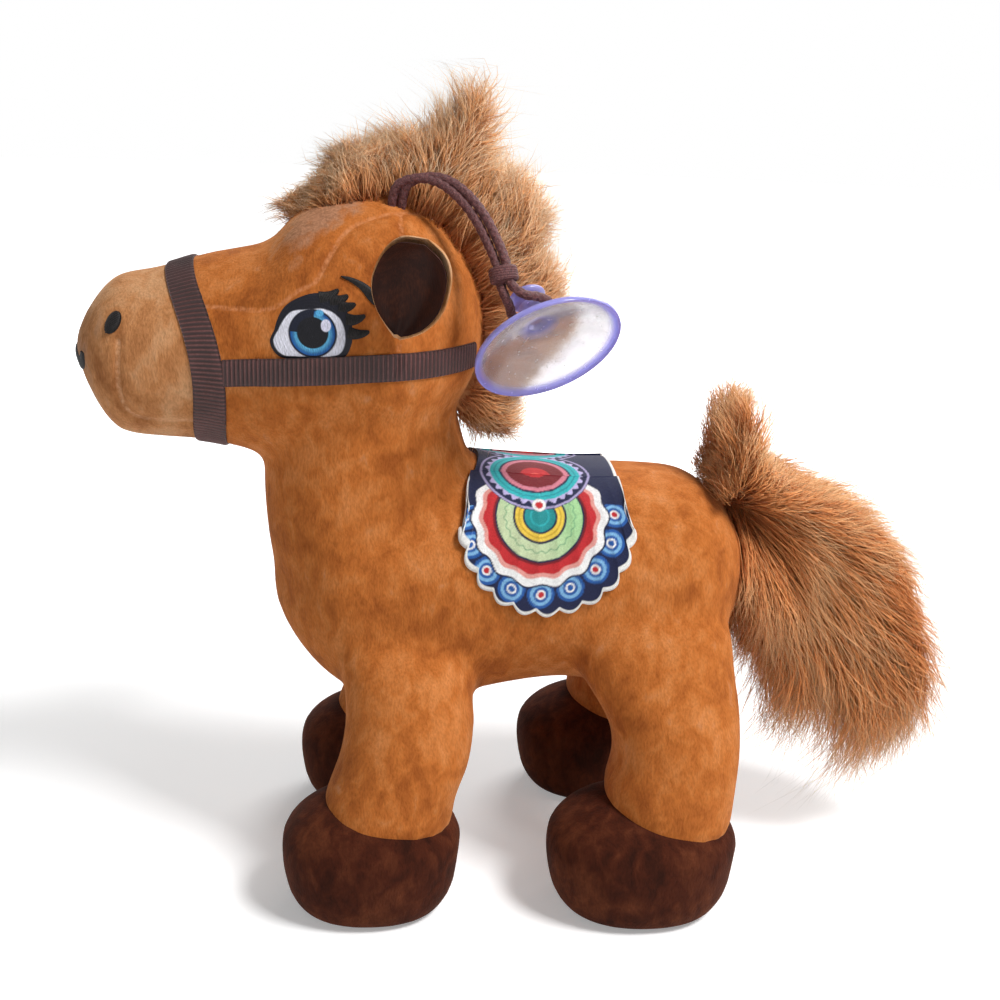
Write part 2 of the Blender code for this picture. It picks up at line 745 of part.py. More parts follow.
def surface_y(form, x, z):
    """How far out from the middle plane a form that runs along X reaches at a point of its side."""
    place = (x - form.start) / form.length
    _, low, high, half_width, _ = form.edges(place)
    off_middle = abs(z - (low + high) / 2) / ((high - low) / 2)
    return half_width * max(0.0, 1 - off_middle**form.fullness) ** (1 / form.fullness)


def leaf(base, frame, margin_share, low, high):
    """A cupped leaf between two offsets from its cup surface.

    Its width follows the outline shares along its length, and it bows forward with the square of
    the way across.
    """
    rise, across, face = frame
    rows = list(EAR_OUTLINE_SHARES)
    rings = []
    for step, opened in enumerate(rows):
        along = EAR_LENGTH * (margin_share / 2 + (1 - margin_share) * step / (len(rows) - 1))
        half = EAR_WIDTH / 2 * opened * (1 - margin_share)
        ring = []
        for offset, order in ((low, 1), (high, -1)):
            for k in range(EAR_ACROSS + 1)[::order]:
                u = 2 * k / EAR_ACROSS - 1
                curl = EAR_TIP_CURL_SHARE * (step / (len(rows) - 1)) ** 2
                bow = EAR_CUP_DEPTH * (u * u * opened + curl)
                ring.append(base + rise * along + across * half * u + face * (bow + offset))
        rings.append(ring)
    return skin_rings(rings)


def make_ears():
    """Two cupped ears with dark linings, each sewn down at its base, where it bends."""
    head = cutter_of("head_in_ears", HEAD)
    for side, hand in ((LEFT, "left"), (RIGHT, "right")):
        mirror = Vector((1, side, 1))
        rise = (Vector(EAR_TIP_SHARES) * mirror).normalized()
        face = Vector(EAR_FACE_SHARES) * mirror
        face = (face - rise * face.dot(rise)).normalized()
        across = rise.cross(face)
        out = surface_y(HEAD, EAR_X, EAR_Z) + EAR_STAND_OFF + EAR_THICKNESS / 2
        base = Vector((EAR_X, side * out, EAR_Z))
        frame = (rise, across, face)
        half = EAR_THICKNESS / 2
        ear = add_object(f"ear_{hand}", *leaf(base, frame, 0.0, -half, half), PLUSH, base)
        boolean(ear, head)
        lining = leaf(
            base, frame, EAR_LINING_MARGIN_SHARE, half + GAP, half + GAP + EAR_LINING_THICKNESS
        )
        item = add_object(f"ear_lining_{hand}", *lining, EAR_SATIN, base)
        boolean(item, head)


def crest_ring(root, tip, half_thickness):
    """One ring of a fur crest: an oval from its root to its tip, in the plane of both and of Y."""
    middle, reach = (root + tip) / 2, (tip - root) / 2
    ring = []
    for k in range(CREST_SIDE_COUNT):
        angle = math.tau * (k + 0.5) / CREST_SIDE_COUNT
        side = Vector((0.0, half_thickness * math.sin(angle), 0.0))
        ring.append(middle + reach * math.cos(angle) + side)
    return ring


def mane_rings(start, end, count):
    """Rings of fur round the cranium between two shares of the whole crest.

    A row of the table is its angle round the cranium, its lean, its reach and its thickness.
    """
    rings = []
    table = [(index / (len(MANE_SHARES) - 1), *row) for index, row in enumerate(MANE_SHARES)]
    for step in range(count + 1):
        place = start + (end - start) * step / count
        _, angle, lean, reach, thickness = smooth_row(table, place)
        angle, lean = math.radians(angle), math.radians(lean)
        spoke = Vector(
            (CRANIUM_HALF_LENGTH * math.cos(angle), 0.0, CRANIUM_HALF_HEIGHT * math.sin(angle))
        )
        centre = Vector((CRANIUM_X, 0.0, CRANIUM_Z))
        tip = centre + spoke + Vector((math.cos(lean), 0.0, math.sin(lean))) * MANE_REACH * reach
        rings.append(
            crest_ring(centre + spoke * MANE_ROOT_SHARE, tip, MANE_THICKNESS / 2 * thickness)
        )
    return rings


def make_mane():
    """Mane from crown to nape and the forelock before it, both seated on the head."""
    cutters = [
        cutter_of("head_in_mane", HEAD),
        cutter_of("neck_in_mane", NECK),
        cutter_of("torso_in_mane", TORSO),
    ]
    parting, gap = MANE_PARTING_SHARE, MANE_PARTING_GAP_SHARE
    for name, start, end, count in (
        ("mane", parting + gap, 1.0, MANE_RINGS),
        ("forelock", 0.0, parting - gap, FORELOCK_RINGS),
    ):
        item = add_object(name, *skin_rings(mane_rings(start, end, count)), FUR)
        for cutter in cutters:
            boolean(item, cutter)


def ball(name, centre, radius, finish=None):
    """A round ball as an object, or as a cutter when it has no finish."""
    rings = []
    for step in range(BALL_STEPS + 1):
        polar = math.pi * step / BALL_STEPS
        count = 1 if step in (0, BALL_STEPS) else 2 * BALL_STEPS
        rings.append(
            [
                centre
                + radius
                * Vector(
                    (
                        math.sin(polar) * math.cos(math.tau * k / count),
                        math.sin(polar) * math.sin(math.tau * k / count),
                        math.cos(polar),
                    )
                )
                for k in range(count)
            ]
        )
    return add_object(name, *skin_rings(rings), finish, centre if finish else None)


def make_torso_and_tail():
    """Torso with a seat for the tail root, and the tail that turns on it."""
    root = Vector((TAIL_ROOT_X, 0.0, TAIL_ROOT_Z))
    seat = ball("tail_seat", root, TAIL_ROOT_RADIUS + GAP)
    boolean(add_form("torso", TORSO, PLUSH), seat)
    ball("tail_root", root, TAIL_ROOT_RADIUS, PLUSH)
    rings = []
    for step in range(TAIL_RINGS + 1):
        place = step / TAIL_RINGS * (len(TAIL_SHARES) - 1)
        table = [(float(index), *row) for index, row in enumerate(TAIL_SHARES)]
        _, upper_x, upper_z, lower_x, lower_z, thickness = smooth_row(table, place)
        upper = root + Vector((TAIL_REACH * upper_x, 0.0, TAIL_DROP * upper_z))
        lower = root + Vector((TAIL_REACH * lower_x, 0.0, TAIL_DROP * lower_z))
        rings.append(crest_ring(lower, upper, TAIL_THICKNESS / 2 * thickness))
    tail = add_object("tail", *skin_rings(rings), FUR, root)
    boolean(tail, seat)
    boolean(tail, add_form("rump_clearance", TORSO, grow=TAIL_CLEARANCE))


def saddle_outline():
    """The saddle cloth seen from the side: a scalloped round below, a narrower top over the back."""
    top = TORSO_BOTTOM_Z + TORSO_HEIGHT + OVERRUN
    half = SADDLE_TOP_WIDTH / 2
    outline = [(SADDLE_X + half, top), (SADDLE_X - half, top)]
    steps = SCALLOP_COUNT * SCALLOP_POINTS
    for step in range(steps + 1):
        angle = math.pi + math.pi * step / steps
        scallop = abs(math.sin(math.pi * SCALLOP_COUNT * step / steps))
        radius = SADDLE_RADIUS + SCALLOP_DEPTH * scallop
        outline.append((SADDLE_X + radius * math.cos(angle), SADDLE_Z + radius * math.sin(angle)))
    return outline


def make_saddle():
    """Saddle cloth over the back: a fixed middle and a flap that lifts on each side."""
    outline = saddle_outline()
    neck = add_form("neck_in_saddle", NECK, grow=SADDLE_NECK_CLEARANCE)
    edge = SADDLE_HINGE_Y
    ends = (SADDLE_X - SADDLE_TOP_WIDTH / 2, SADDLE_X + SADDLE_TOP_WIDTH / 2)
    height = max(surface_z(TORSO, x, edge, GAP + FELT_THICKNESS) for x in ends)
    spans = (
        ("saddle_cloth", -edge, edge, 0),
        ("saddle_flap_left", -TORSO_WIDTH, -edge - GAP, LEFT),
        ("saddle_flap_right", edge + GAP, TORSO_WIDTH, RIGHT),
    )
    for name, low_y, high_y, side in spans:
        hinge = Vector((SADDLE_X, side * edge, height)) if side else None
        item = lay_on(name, TORSO, outline, FELT, FELT_THICKNESS, low_y, high_y, hinge)
        boolean(item, neck)


def surface_z(form, x, y, grow=0.0):
    """How high a form that runs along X reaches at a point of its upper side."""
    place = (x - form.start) / form.length
    _, low, high, half_width, _ = form.edges(place, grow)
    share = max(0.0, 1 - (abs(y) / half_width) ** form.fullness) ** (1 / form.fullness)
    return (low + high) / 2 + (high - low) / 2 * share


def cup_frame():
    """The axis of the suction cup, from its opening to its knob, the way the cord leaves, and across."""
    axis = Vector(CUP_AXIS_SHARES).normalized()
    neck = CUP_CENTRE + axis * (CUP_DOME_HEIGHT + CUP_NECK_HEIGHT / 2)
    towards = CORD_ROUTE[-1] - neck
    leave = (towards - axis * towards.dot(axis)).normalized()
    return axis, leave, axis.cross(leave), neck


def cup_profile():
    """Radius and height of the cup, from the middle of its inside out, over the rim and up the knob."""
    inner_radius = CUP_RADIUS - CUP_WALL / 2
    steps = range(CUP_DOME_STEPS + 1)
    quarter = [math.pi / 2 * step / CUP_DOME_STEPS for step in steps]
    inside = [(inner_radius * math.sin(a), CUP_HOLLOW_DEPTH * math.cos(a) ** 2) for a in quarter]
    shoulder = CUP_DOME_HEIGHT
    outside = [(CUP_RADIUS, 0.0), (CUP_RADIUS, CUP_LIP)]
    for a in quarter[1:-1][::-1]:
        radius = CUP_NECK_RADIUS + (CUP_RADIUS - CUP_NECK_RADIUS) * math.sin(a)
        flare = (1 - math.sin(a)) ** CUP_FLARE_POWER
        outside.append((radius, CUP_LIP + (shoulder - CUP_LIP) * flare))
    neck_top = shoulder + CUP_NECK_HEIGHT
    outside += [(CUP_NECK_RADIUS, shoulder), (CUP_NECK_RADIUS, neck_top)]
    middle, half = neck_top + CUP_KNOB_HEIGHT / 2, CUP_KNOB_HEIGHT / 2
    for step in range(1, CUP_DOME_STEPS):
        a = math.pi * step / CUP_DOME_STEPS
        outside.append((CUP_KNOB_RADIUS * math.sin(a), middle - half * math.cos(a)))
    outside.append((0.0, neck_top + CUP_KNOB_HEIGHT))
    return inside + outside


def turned(name, profile, base, axis, sides, finish, origin=None):
    """A profile of radius and height turned about an axis; a radius of zero is a pole."""
    turn = Vector((0.0, 0.0, 1.0)).rotation_difference(axis).to_matrix()
    rings = []
    for radius, height in profile:
        count = sides if radius > 0 else 1
        ring = []
        for k in range(count):
            angle = math.tau * k / count
            local = Vector((radius * math.cos(angle), radius * math.sin(angle), height))
            ring.append(base + turn @ local)
        rings.append(ring)
    return add_object(name, *skin_rings(rings), finish, origin)


def cord_crown():
    """Where the cord is sewn in, on the head's skin beside the mane."""
    lift = CORD_DIAMETER / 2
    height = surface_z(HEAD, CORD_CROWN_X, abs(CORD_CROWN_Y) - lift, GAP) + GAP
    return Vector((CORD_CROWN_X, CORD_CROWN_Y, height))


def cord_hinge():
    """Where the cord swings, just above the stitches that hold its ends."""
    return cord_crown() + Vector((0.0, 0.0, CORD_HINGE_LIFT))


def cord_path():
    """Points of the cord: down one strand, half way round the cup's neck and back up the other."""
    axis, leave, across, neck = cup_frame()
    half_pitch = CORD_PITCH / 2
    route = (cord_crown(), *CORD_ROUTE)
    strands = []
    for hand in (1, -1):
        strand = []
        for index, point in enumerate(route):
            twist = index / (len(route) - 1)
            spread = (Vector((1.0, 0.0, 0.0)) * (1 - twist) + across * twist).normalized()
            strand.append(point + spread * half_pitch * hand)
        for forward, spread, lift in CORD_TURNS[::-1]:
            strand.append(neck + leave * forward + across * spread * hand + axis * lift)
        strands.append(strand)
    arc = []
    for step in range(CORD_ARC_STEPS + 1):
        angle = math.pi * step / CORD_ARC_STEPS
        arc.append(neck + (across * math.cos(angle) - leave * math.sin(angle)) * CORD_LOOP_RADIUS)
    return strands[0] + arc + strands[1][::-1]


def even_points(path, count):
    """Points evenly spaced along a smooth curve through a path."""
    table, travelled = [], 0.0
    for index, point in enumerate(path):
        if index:
            travelled += (point - path[index - 1]).length
        table.append((travelled, *point))
    return [Vector(smooth_row(table, travelled * k / count)[1:]) for k in range(count + 1)]


def tube(name, points, radius, sides):
    """A closed tube cutter along points, whose rings turn with the path and never twist."""
    rings = []
    aside = Vector((0.0, 1.0, 0.0))
    for index, point in enumerate(points):
        ahead = points[min(index + 1, len(points) - 1)] - points[max(index - 1, 0)]
        ahead.normalize()
        aside = (aside - ahead * aside.dot(ahead)).normalized()
        above = ahead.cross(aside)
        turns = [math.tau * k / sides for k in range(sides)]
        rings.append([point + (aside * math.cos(a) + above * math.sin(a)) * radius for a in turns])
    return add_object(name, *skin_rings(rings))


def make_hanger():
    """Suction cup on its cord, which is sewn in at the crown, with a binding that closes the loop."""
    axis, _, _, neck = cup_frame()
    turned("suction_cup", cup_profile(), CUP_CENTRE, axis, CUP_SIDE_COUNT, CUP_PLASTIC, neck)
    points = even_points(cord_path(), CORD_POINT_COUNT)
    hinge = cord_hinge()
    curve = bpy.data.curves.new("hanging_cord", "CURVE")
    curve.dimensions = "3D"
    curve.bevel_depth = CORD_DIAMETER / 2
    curve.bevel_resolution = 2
    curve.use_fill_caps = True
    spline = curve.splines.new("POLY")
    spline.points.add(len(points) - 1)
    for place, point in zip(spline.points, points):
        place.co = (*(point - hinge), 1.0)
    curve.materials.append(material(CORD_BRAID))
    cord = bpy.data.objects.new("hanging_cord", curve)
    cord.location = hinge
    bpy.context.scene.collection.objects.link(cord)
    start, end = CORD_ROUTE[-1], CORD_ROUTE[-2]
    along = (end - start).normalized()
    half = BINDING_LENGTH / 2
    profile = [
        (0.0, -half),
        (BINDING_RADIUS * BINDING_END_SHARE, -half),
        (BINDING_RADIUS, -half / 2),
        (BINDING_RADIUS, half / 2),
        (BINDING_RADIUS * BINDING_END_SHARE, half),
        (0.0, half),
    ]
    binding = turned(
        "cord_binding", profile, start + along * half, along, BINDING_SIDE_COUNT, CORD_BRAID, hinge
    )
    boolean(binding, tube("cord_in_binding", points, CORD_DIAMETER / 2 + GAP, BINDING_SIDE_COUNT))


def main():
    """Build every piece of the horse."""
    clear_scene()
    make_torso_and_tail()
    make_head()
    make_legs()
    make_halter()
    make_face()
    make_ears()
    make_mane()
    make_saddle()
    make_hanger()


main()
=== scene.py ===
"""The looks of a plush horse: stuffed covers, fur, ribbon halter, printed saddle cloth and hanger."""

from __future__ import annotations

import logging
from collections.abc import Sequence
from dataclasses import dataclass, field
from enum import Enum
from math import cos, pi, radians, sin, tan, tau
from typing import Any

import bmesh
import bpy
import numpy as np
from mathutils import Matrix, Vector

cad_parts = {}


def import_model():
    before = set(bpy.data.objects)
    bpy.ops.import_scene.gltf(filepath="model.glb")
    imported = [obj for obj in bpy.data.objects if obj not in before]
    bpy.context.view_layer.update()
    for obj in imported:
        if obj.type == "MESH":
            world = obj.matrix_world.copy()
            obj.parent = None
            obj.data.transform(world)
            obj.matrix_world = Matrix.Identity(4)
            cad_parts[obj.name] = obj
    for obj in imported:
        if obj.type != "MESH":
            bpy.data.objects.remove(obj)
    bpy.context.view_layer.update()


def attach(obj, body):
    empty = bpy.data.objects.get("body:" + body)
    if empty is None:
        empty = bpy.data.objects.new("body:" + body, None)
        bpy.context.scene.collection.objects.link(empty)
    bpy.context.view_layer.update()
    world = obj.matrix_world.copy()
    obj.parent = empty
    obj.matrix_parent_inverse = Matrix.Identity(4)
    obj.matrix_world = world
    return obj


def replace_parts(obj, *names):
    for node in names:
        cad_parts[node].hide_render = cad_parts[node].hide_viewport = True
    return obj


Array = np.ndarray
Piece = bpy.types.Object
Triple = tuple[float, float, float]
Rows = tuple[tuple[float, ...], ...]
MM = 0.001
OUTSIDE = 60.0  # millimetres from the middle plane, outside every cover
AHEAD = -140.0  # millimetres along X, before the muzzle
CHUNK = 2000  # points whose distances are worked out at a time
NOISE_SIZE = 4096  # random numbers of a noise, a power of two
NOISE_KEYS = (73856093, 19349663, 83492791)  # primes that scatter the places of its lattice
LOG = logging.getLogger("plush_horse")


class Side(Enum):
    """A side of the horse, with its sign along Y."""

    LEFT = -1
    RIGHT = 1

    @property
    def hand(self) -> str:
        """The word that ends this side's piece names."""
        return self.name.lower()


class Onto(Enum):
    """How flat points are laid on a cover: from the side, from the front or to the nearest place."""

    SIDE = "side"
    FRONT = "front"
    NEAREST = "nearest"


# ---- Numbers and grids


def unit(vectors: Array) -> Array:
    """Vectors scaled to a length of one."""
    return vectors / np.maximum(np.linalg.norm(vectors, axis=-1, keepdims=True), 1e-12)


def smooth_step(low: float, high: float, value: Array) -> Array:
    """0 below low and 1 above high, with the cubic 3t^2 - 2t^3 between them."""
    t = np.clip((value - low) / (high - low), 0.0, 1.0)
    return t * t * (3 - 2 * t)


def smooth_rows(rows: Sequence[Sequence[float]], places: Array) -> Array:
    """Values of a table at places along its first column.

    Between two rows the value is the cubic with the slopes of the chords through their neighbours.

    Args:
        rows: the table, with its places rising in the first column.
        places: the places to read, of any shape.

    Returns:
        The other columns' values, along a new last axis.
    """
    table = np.array(rows, dtype=float)
    x, y = table[:, 0], table[:, 1:]
    slope = np.empty_like(y)
    slope[1:-1] = (y[2:] - y[:-2]) / (x[2:] - x[:-2])[:, None]
    slope[0] = (y[1] - y[0]) / (x[1] - x[0])
    slope[-1] = (y[-1] - y[-2]) / (x[-1] - x[-2])
    index = np.clip(np.searchsorted(x, places, side="right") - 1, 0, len(x) - 2)
    span = (x[index + 1] - x[index])[..., None]
    t = (places - x[index])[..., None] / span
    rise, first, last = y[index + 1] - y[index], slope[index] * span, slope[index + 1] * span
    return y[index] + t * first + t**2 * (3 * rise - 2 * first - last) + t**3 * (first + last - 2 * rise)


def even_rows(rows: Rows, places: Array) -> Array:
    """Values of a table without places, whose rows lie evenly from 0 to 1."""
    return smooth_rows(np.column_stack([np.linspace(0, 1, len(rows)), rows]), places)


def turns(count: int) -> Array:
    """Even angles round a circle."""
    return np.arange(count) * tau / count


def run_along(points: Array) -> Array:
    """How far each point of a line, or of a grid's columns, lies from the first along it."""
    steps = np.linalg.norm(np.diff(points, axis=0), axis=-1)
    return np.concatenate([np.zeros_like(steps[:1]), np.cumsum(steps, axis=0)])


def spokes(first: Array, second: Array, turn: Array) -> Array:
    """Vectors that turn from first towards second: first cos + second sin, along a new axis."""
    return first[..., None, :] * np.cos(turn)[:, None] + second[..., None, :] * np.sin(turn)[:, None]


def value_noise(points: Array, size: float, seed: int) -> Array:
    """Smooth noise from -1 to 1: random numbers on a lattice, mixed by the cubic step between them.

    Args:
        points: where it is read, with x, y and z along the last axis.
        size: the distance between the lattice's places.
        seed: the seed of its random numbers.

    Returns:
        A value for each point.
    """
    table = np.random.default_rng(seed).uniform(-1, 1, NOISE_SIZE)
    scaled = points / size
    cell = np.floor(scaled).astype(np.int64)
    part = scaled - cell
    part = part * part * (3 - 2 * part)
    total = np.zeros(points.shape[:-1])
    for corner in range(8):
        step = np.array([corner & 1, corner >> 1 & 1, corner >> 2 & 1])
        key = np.bitwise_xor.reduce((cell + step) * NOISE_KEYS, axis=-1)
        weight = np.prod(np.where(step == 1, part, 1 - part), axis=-1)
        total += weight * table[key & (NOISE_SIZE - 1)]
    return total


def grid_faces(rows: int, columns: int, wraps: bool = False) -> Array:
    """Quads of a grid of points in row order, closed across the columns where it wraps.

    Args:
        rows: the grid's rows.
        columns: the points of a row.
        wraps: whether the last column joins the first.

    Returns:
        Rows of four point numbers.
    """
    row, column = np.meshgrid(np.arange(rows - 1), np.arange(columns - (not wraps)), indexing="ij")
    beside = (column + 1) % columns
    quads = (
        row * columns + column,
        row * columns + beside,
        (row + 1) * columns + beside,
        (row + 1) * columns + column,
    )
    return np.stack(quads, axis=-1).reshape(-1, 4)


def closed_ends(grid: Array, tips: Array | None = None) -> Array:
    """A tube's grid with a point, its end row's middle or a given tip, beyond each end.

    Args:
        grid: the tube's rings.
        tips: the line whose first and last points are the tips.

    Returns:
        The grid with two more rows.
    """
    tips = grid.mean(axis=1) if tips is None else tips
    ends = [np.repeat(tips[k][None, None], grid.shape[1], axis=1) for k in (0, -1)]
    return np.concatenate([ends[0], grid, ends[1]])


def grid_normals(points: Array) -> Array:
    """Unit normals of a grid of points: the cross product of its two directions' differences."""
    return unit(np.cross(np.gradient(points, axis=0), np.gradient(points, axis=1)))


def set_dye(mesh: bpy.types.Mesh, colours: Array) -> None:
    """Keep a value of four channels for each point of a mesh as the attribute "dye"."""
    layer = mesh.attributes.new("dye", "FLOAT_COLOR", "POINT")
    layer.data.foreach_set("color", colours.astype(np.float32).ravel())


def new_piece(
    name: str,
    points: Array,
    faces: Array,
    colours: Array | None = None,
    uv: Array | None = None,
) -> Piece:
    """A mesh object at the origin from arrays, shaded smooth.

    Args:
        name: the piece's name.
        points: its points in metres, with x, y and z along the last axis.
        faces: rows of point numbers, all of one length.
        colours: a value of four channels for each point, kept as the attribute "dye".
        uv: a pair of surface coordinates for each point.

    Returns:
        The linked object.
    """
    mesh = bpy.data.meshes.new(name)
    count, corners = faces.shape
    mesh.vertices.add(points.size // 3)
    mesh.vertices.foreach_set("co", np.ascontiguousarray(points, dtype=np.float32).ravel())
    mesh.loops.add(faces.size)
    mesh.loops.foreach_set("vertex_index", faces.astype(np.int32).ravel())
    mesh.polygons.add(count)
    mesh.polygons.foreach_set("loop_start", np.arange(count, dtype=np.int32) * corners)
    mesh.update(calc_edges=True)
    mesh.validate()
    mesh.shade_smooth()
    if colours is not None:
        set_dye(mesh, colours)
    if uv is not None:
        layer = mesh.uv_layers.new(name="cloth")
        corner = np.empty(len(mesh.loops), dtype=np.int32)
        mesh.loops.foreach_get("vertex_index", corner)
        layer.data.foreach_set("uv", uv.reshape(-1, 2)[corner].astype(np.float32).ravel())
    piece = bpy.data.objects.new(name, mesh)
    bpy.context.scene.collection.objects.link(piece)
    return piece


def mesh_points(piece: Piece, what: str = "co") -> Array:
    """The points of a piece's mesh, or with "normal" the unit normals there."""
    vectors = np.empty(len(piece.data.vertices) * 3, dtype=np.float32)
    piece.data.vertices.foreach_get(what, vectors)
    return vectors.reshape(-1, 3).astype(float)


def set_points(piece: Piece, points: Array) -> None:
    """Move the points of a piece's mesh."""
    piece.data.vertices.foreach_set("co", points.astype(np.float32).ravel())
    piece.data.update()


def settle(piece: Piece) -> Piece:
    """Keep what a piece's modifiers give as its own mesh, and clear them.

    Args:
        piece: the piece.

    Returns:
        The same piece.
    """
    evaluated = piece.evaluated_get(bpy.context.evaluated_depsgraph_get())
    mesh = bpy.data.meshes.new_from_object(evaluated)
    piece.modifiers.clear()
    old, piece.data = piece.data, mesh
    bpy.data.meshes.remove(old)
    mesh.shade_smooth()
    return piece


def laid(grid: Array, cover: Piece, onto: Onto) -> Array:
    """Points of a grid moved onto a cover.

    Args:
        grid: the points, which for SIDE lie outside the cover on their own side of the horse.
        cover: the piece that they are laid on.
        onto: the way they go.

    Returns:
        The grid with its points on the cover.
    """
    flat = new_piece("laying", grid, grid_faces(*grid.shape[:2]))
    wrap = flat.modifiers.new("lay", "SHRINKWRAP")
    wrap.target = cover
    if onto is Onto.NEAREST:
        wrap.wrap_method = "NEAREST_SURFACEPOINT"
    else:
        wrap.wrap_method = "PROJECT"
        wrap.use_project_x = onto is Onto.FRONT
        wrap.use_project_y = onto is Onto.SIDE
        forwards = onto is Onto.FRONT or bool(grid[..., 1].mean() < 0)
        wrap.use_positive_direction = forwards
        wrap.use_negative_direction = not forwards
    points = mesh_points(settle(flat)).reshape(grid.shape)
    bpy.data.objects.remove(flat, do_unlink=True)
    return points


def laid_view(x: Array, z: Array, cover: Piece, side: Side | None) -> Array:
    """Points of a flat view in millimetres laid on a cover.

    Args:
        x: their places along the horse, or across it in the front view.
        z: their heights.
        cover: the piece that they are laid on.
        side: the side that they are seen from, or None for the front.

    Returns:
        The points on the cover, in metres.
    """
    spots = (AHEAD, x, z) if side is None else (x, side.value * OUTSIDE, z)
    onto = Onto.FRONT if side is None else Onto.SIDE
    return laid(np.stack(np.broadcast_arrays(*spots), -1) * MM, cover, onto)


def thick_sheet(
    name: str,
    under: Array,
    normals: Array,
    height: Array | float,
    wraps: bool = False,
    dye: Array | None = None,
    uv: Array | None = None,
) -> Piece:
    """A closed sheet over a grid: the grid, the same grid raised along its normals, and its edges.

    Args:
        name: the piece's name.
        under: the grid of its lower face; where it wraps, its columns close on themselves.
        normals: the way up at each point, or one way for all.
        height: how far the upper face stands above the lower one, at each point or everywhere.
        wraps: whether the columns close on themselves.
        dye: colours of the upper face's points, which the lower face repeats.
        uv: surface coordinates of the upper face's points, which the lower face repeats.

    Returns:
        The piece, with its faces pointing out.
    """
    rows, columns = under.shape[:2]
    normals = np.broadcast_to(normals, under.shape)
    height = np.broadcast_to(np.asarray(height, dtype=float), (rows, columns))[..., None]
    upper = under + normals * height
    face = grid_faces(rows, columns, wraps)
    count = rows * columns
    number = np.arange(count).reshape(rows, columns)
    sides = [number[0, ::-1], number[-1]] if wraps else []
    if wraps:
        loops = [np.append(loop, loop[0]) for loop in sides]
    else:
        ring = np.concatenate([number[0], number[1:, -1], number[-1, -2::-1], number[-2::-1, 0]])
        loops = [ring[::-1]]
    walls = [np.stack([k[:-1], k[1:], k[1:] + count, k[:-1] + count], axis=-1) for k in loops]
    faces = np.concatenate([face[:, ::-1], face + count, *walls])
    turn = np.cross(upper[1, 0] - upper[0, 0], upper[0, 1] - upper[0, 0]) @ normals[0, 0]
    if turn > 0:
        faces = faces[:, ::-1]
    twice = [None if a is None else np.concatenate([a.reshape(count, -1)] * 2) for a in (dye, uv)]
    return new_piece(name, np.stack([under, upper]), faces, *twice)


def place_on(body: str, slot: str, *pieces: Piece) -> None:
    """Say which body the pieces ride on."""
    for piece in pieces:
        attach(piece, body)


# ---- Materials


class Nodes:
    """The nodes of a material or of the world."""

    def __init__(self, tree: bpy.types.NodeTree) -> None:
        """Take hold of a node tree."""
        self.tree = tree

    def feed(self, socket: bpy.types.NodeSocket, value: Any) -> None:
        """Link a socket to another node's output, or give it a value.

        Args:
            socket: the input.
            value: a node, an output or a plain value.
        """
        if isinstance(value, bpy.types.Node):
            value = value.outputs[0]
        if isinstance(value, bpy.types.NodeSocket):
            self.tree.links.new(value, socket)
        else:
            socket.default_value = value

    def node(self, kind: str, inputs: dict[Any, Any] | None = None, **settings: Any) -> bpy.types.Node:
        """Add a node.

        Args:
            kind: the end of its type's name.
            inputs: values or outputs for its sockets, by name or number.
            **settings: its own settings.

        Returns:
            The node.
        """
        made = self.tree.nodes.new("ShaderNode" + kind)
        for key, value in settings.items():
            setattr(made, key, value)
        for key, value in (inputs or {}).items():
            self.feed(made.inputs[key], value)
        return made

    def maths(self, operation: str, *values: Any) -> Any:
        """The result of a Math node."""
        return self.node("Math", dict(enumerate(values)), operation=operation)

    def seen(self) -> Any:
        """1 for rays of the camera, of reflections and through clear things, else 0."""
        ray = self.node("LightPath").outputs
        share = self.maths("MAXIMUM", ray["Is Camera Ray"], ray["Is Glossy Ray"])
        return self.maths("MAXIMUM", share, ray["Is Transmission Ray"])


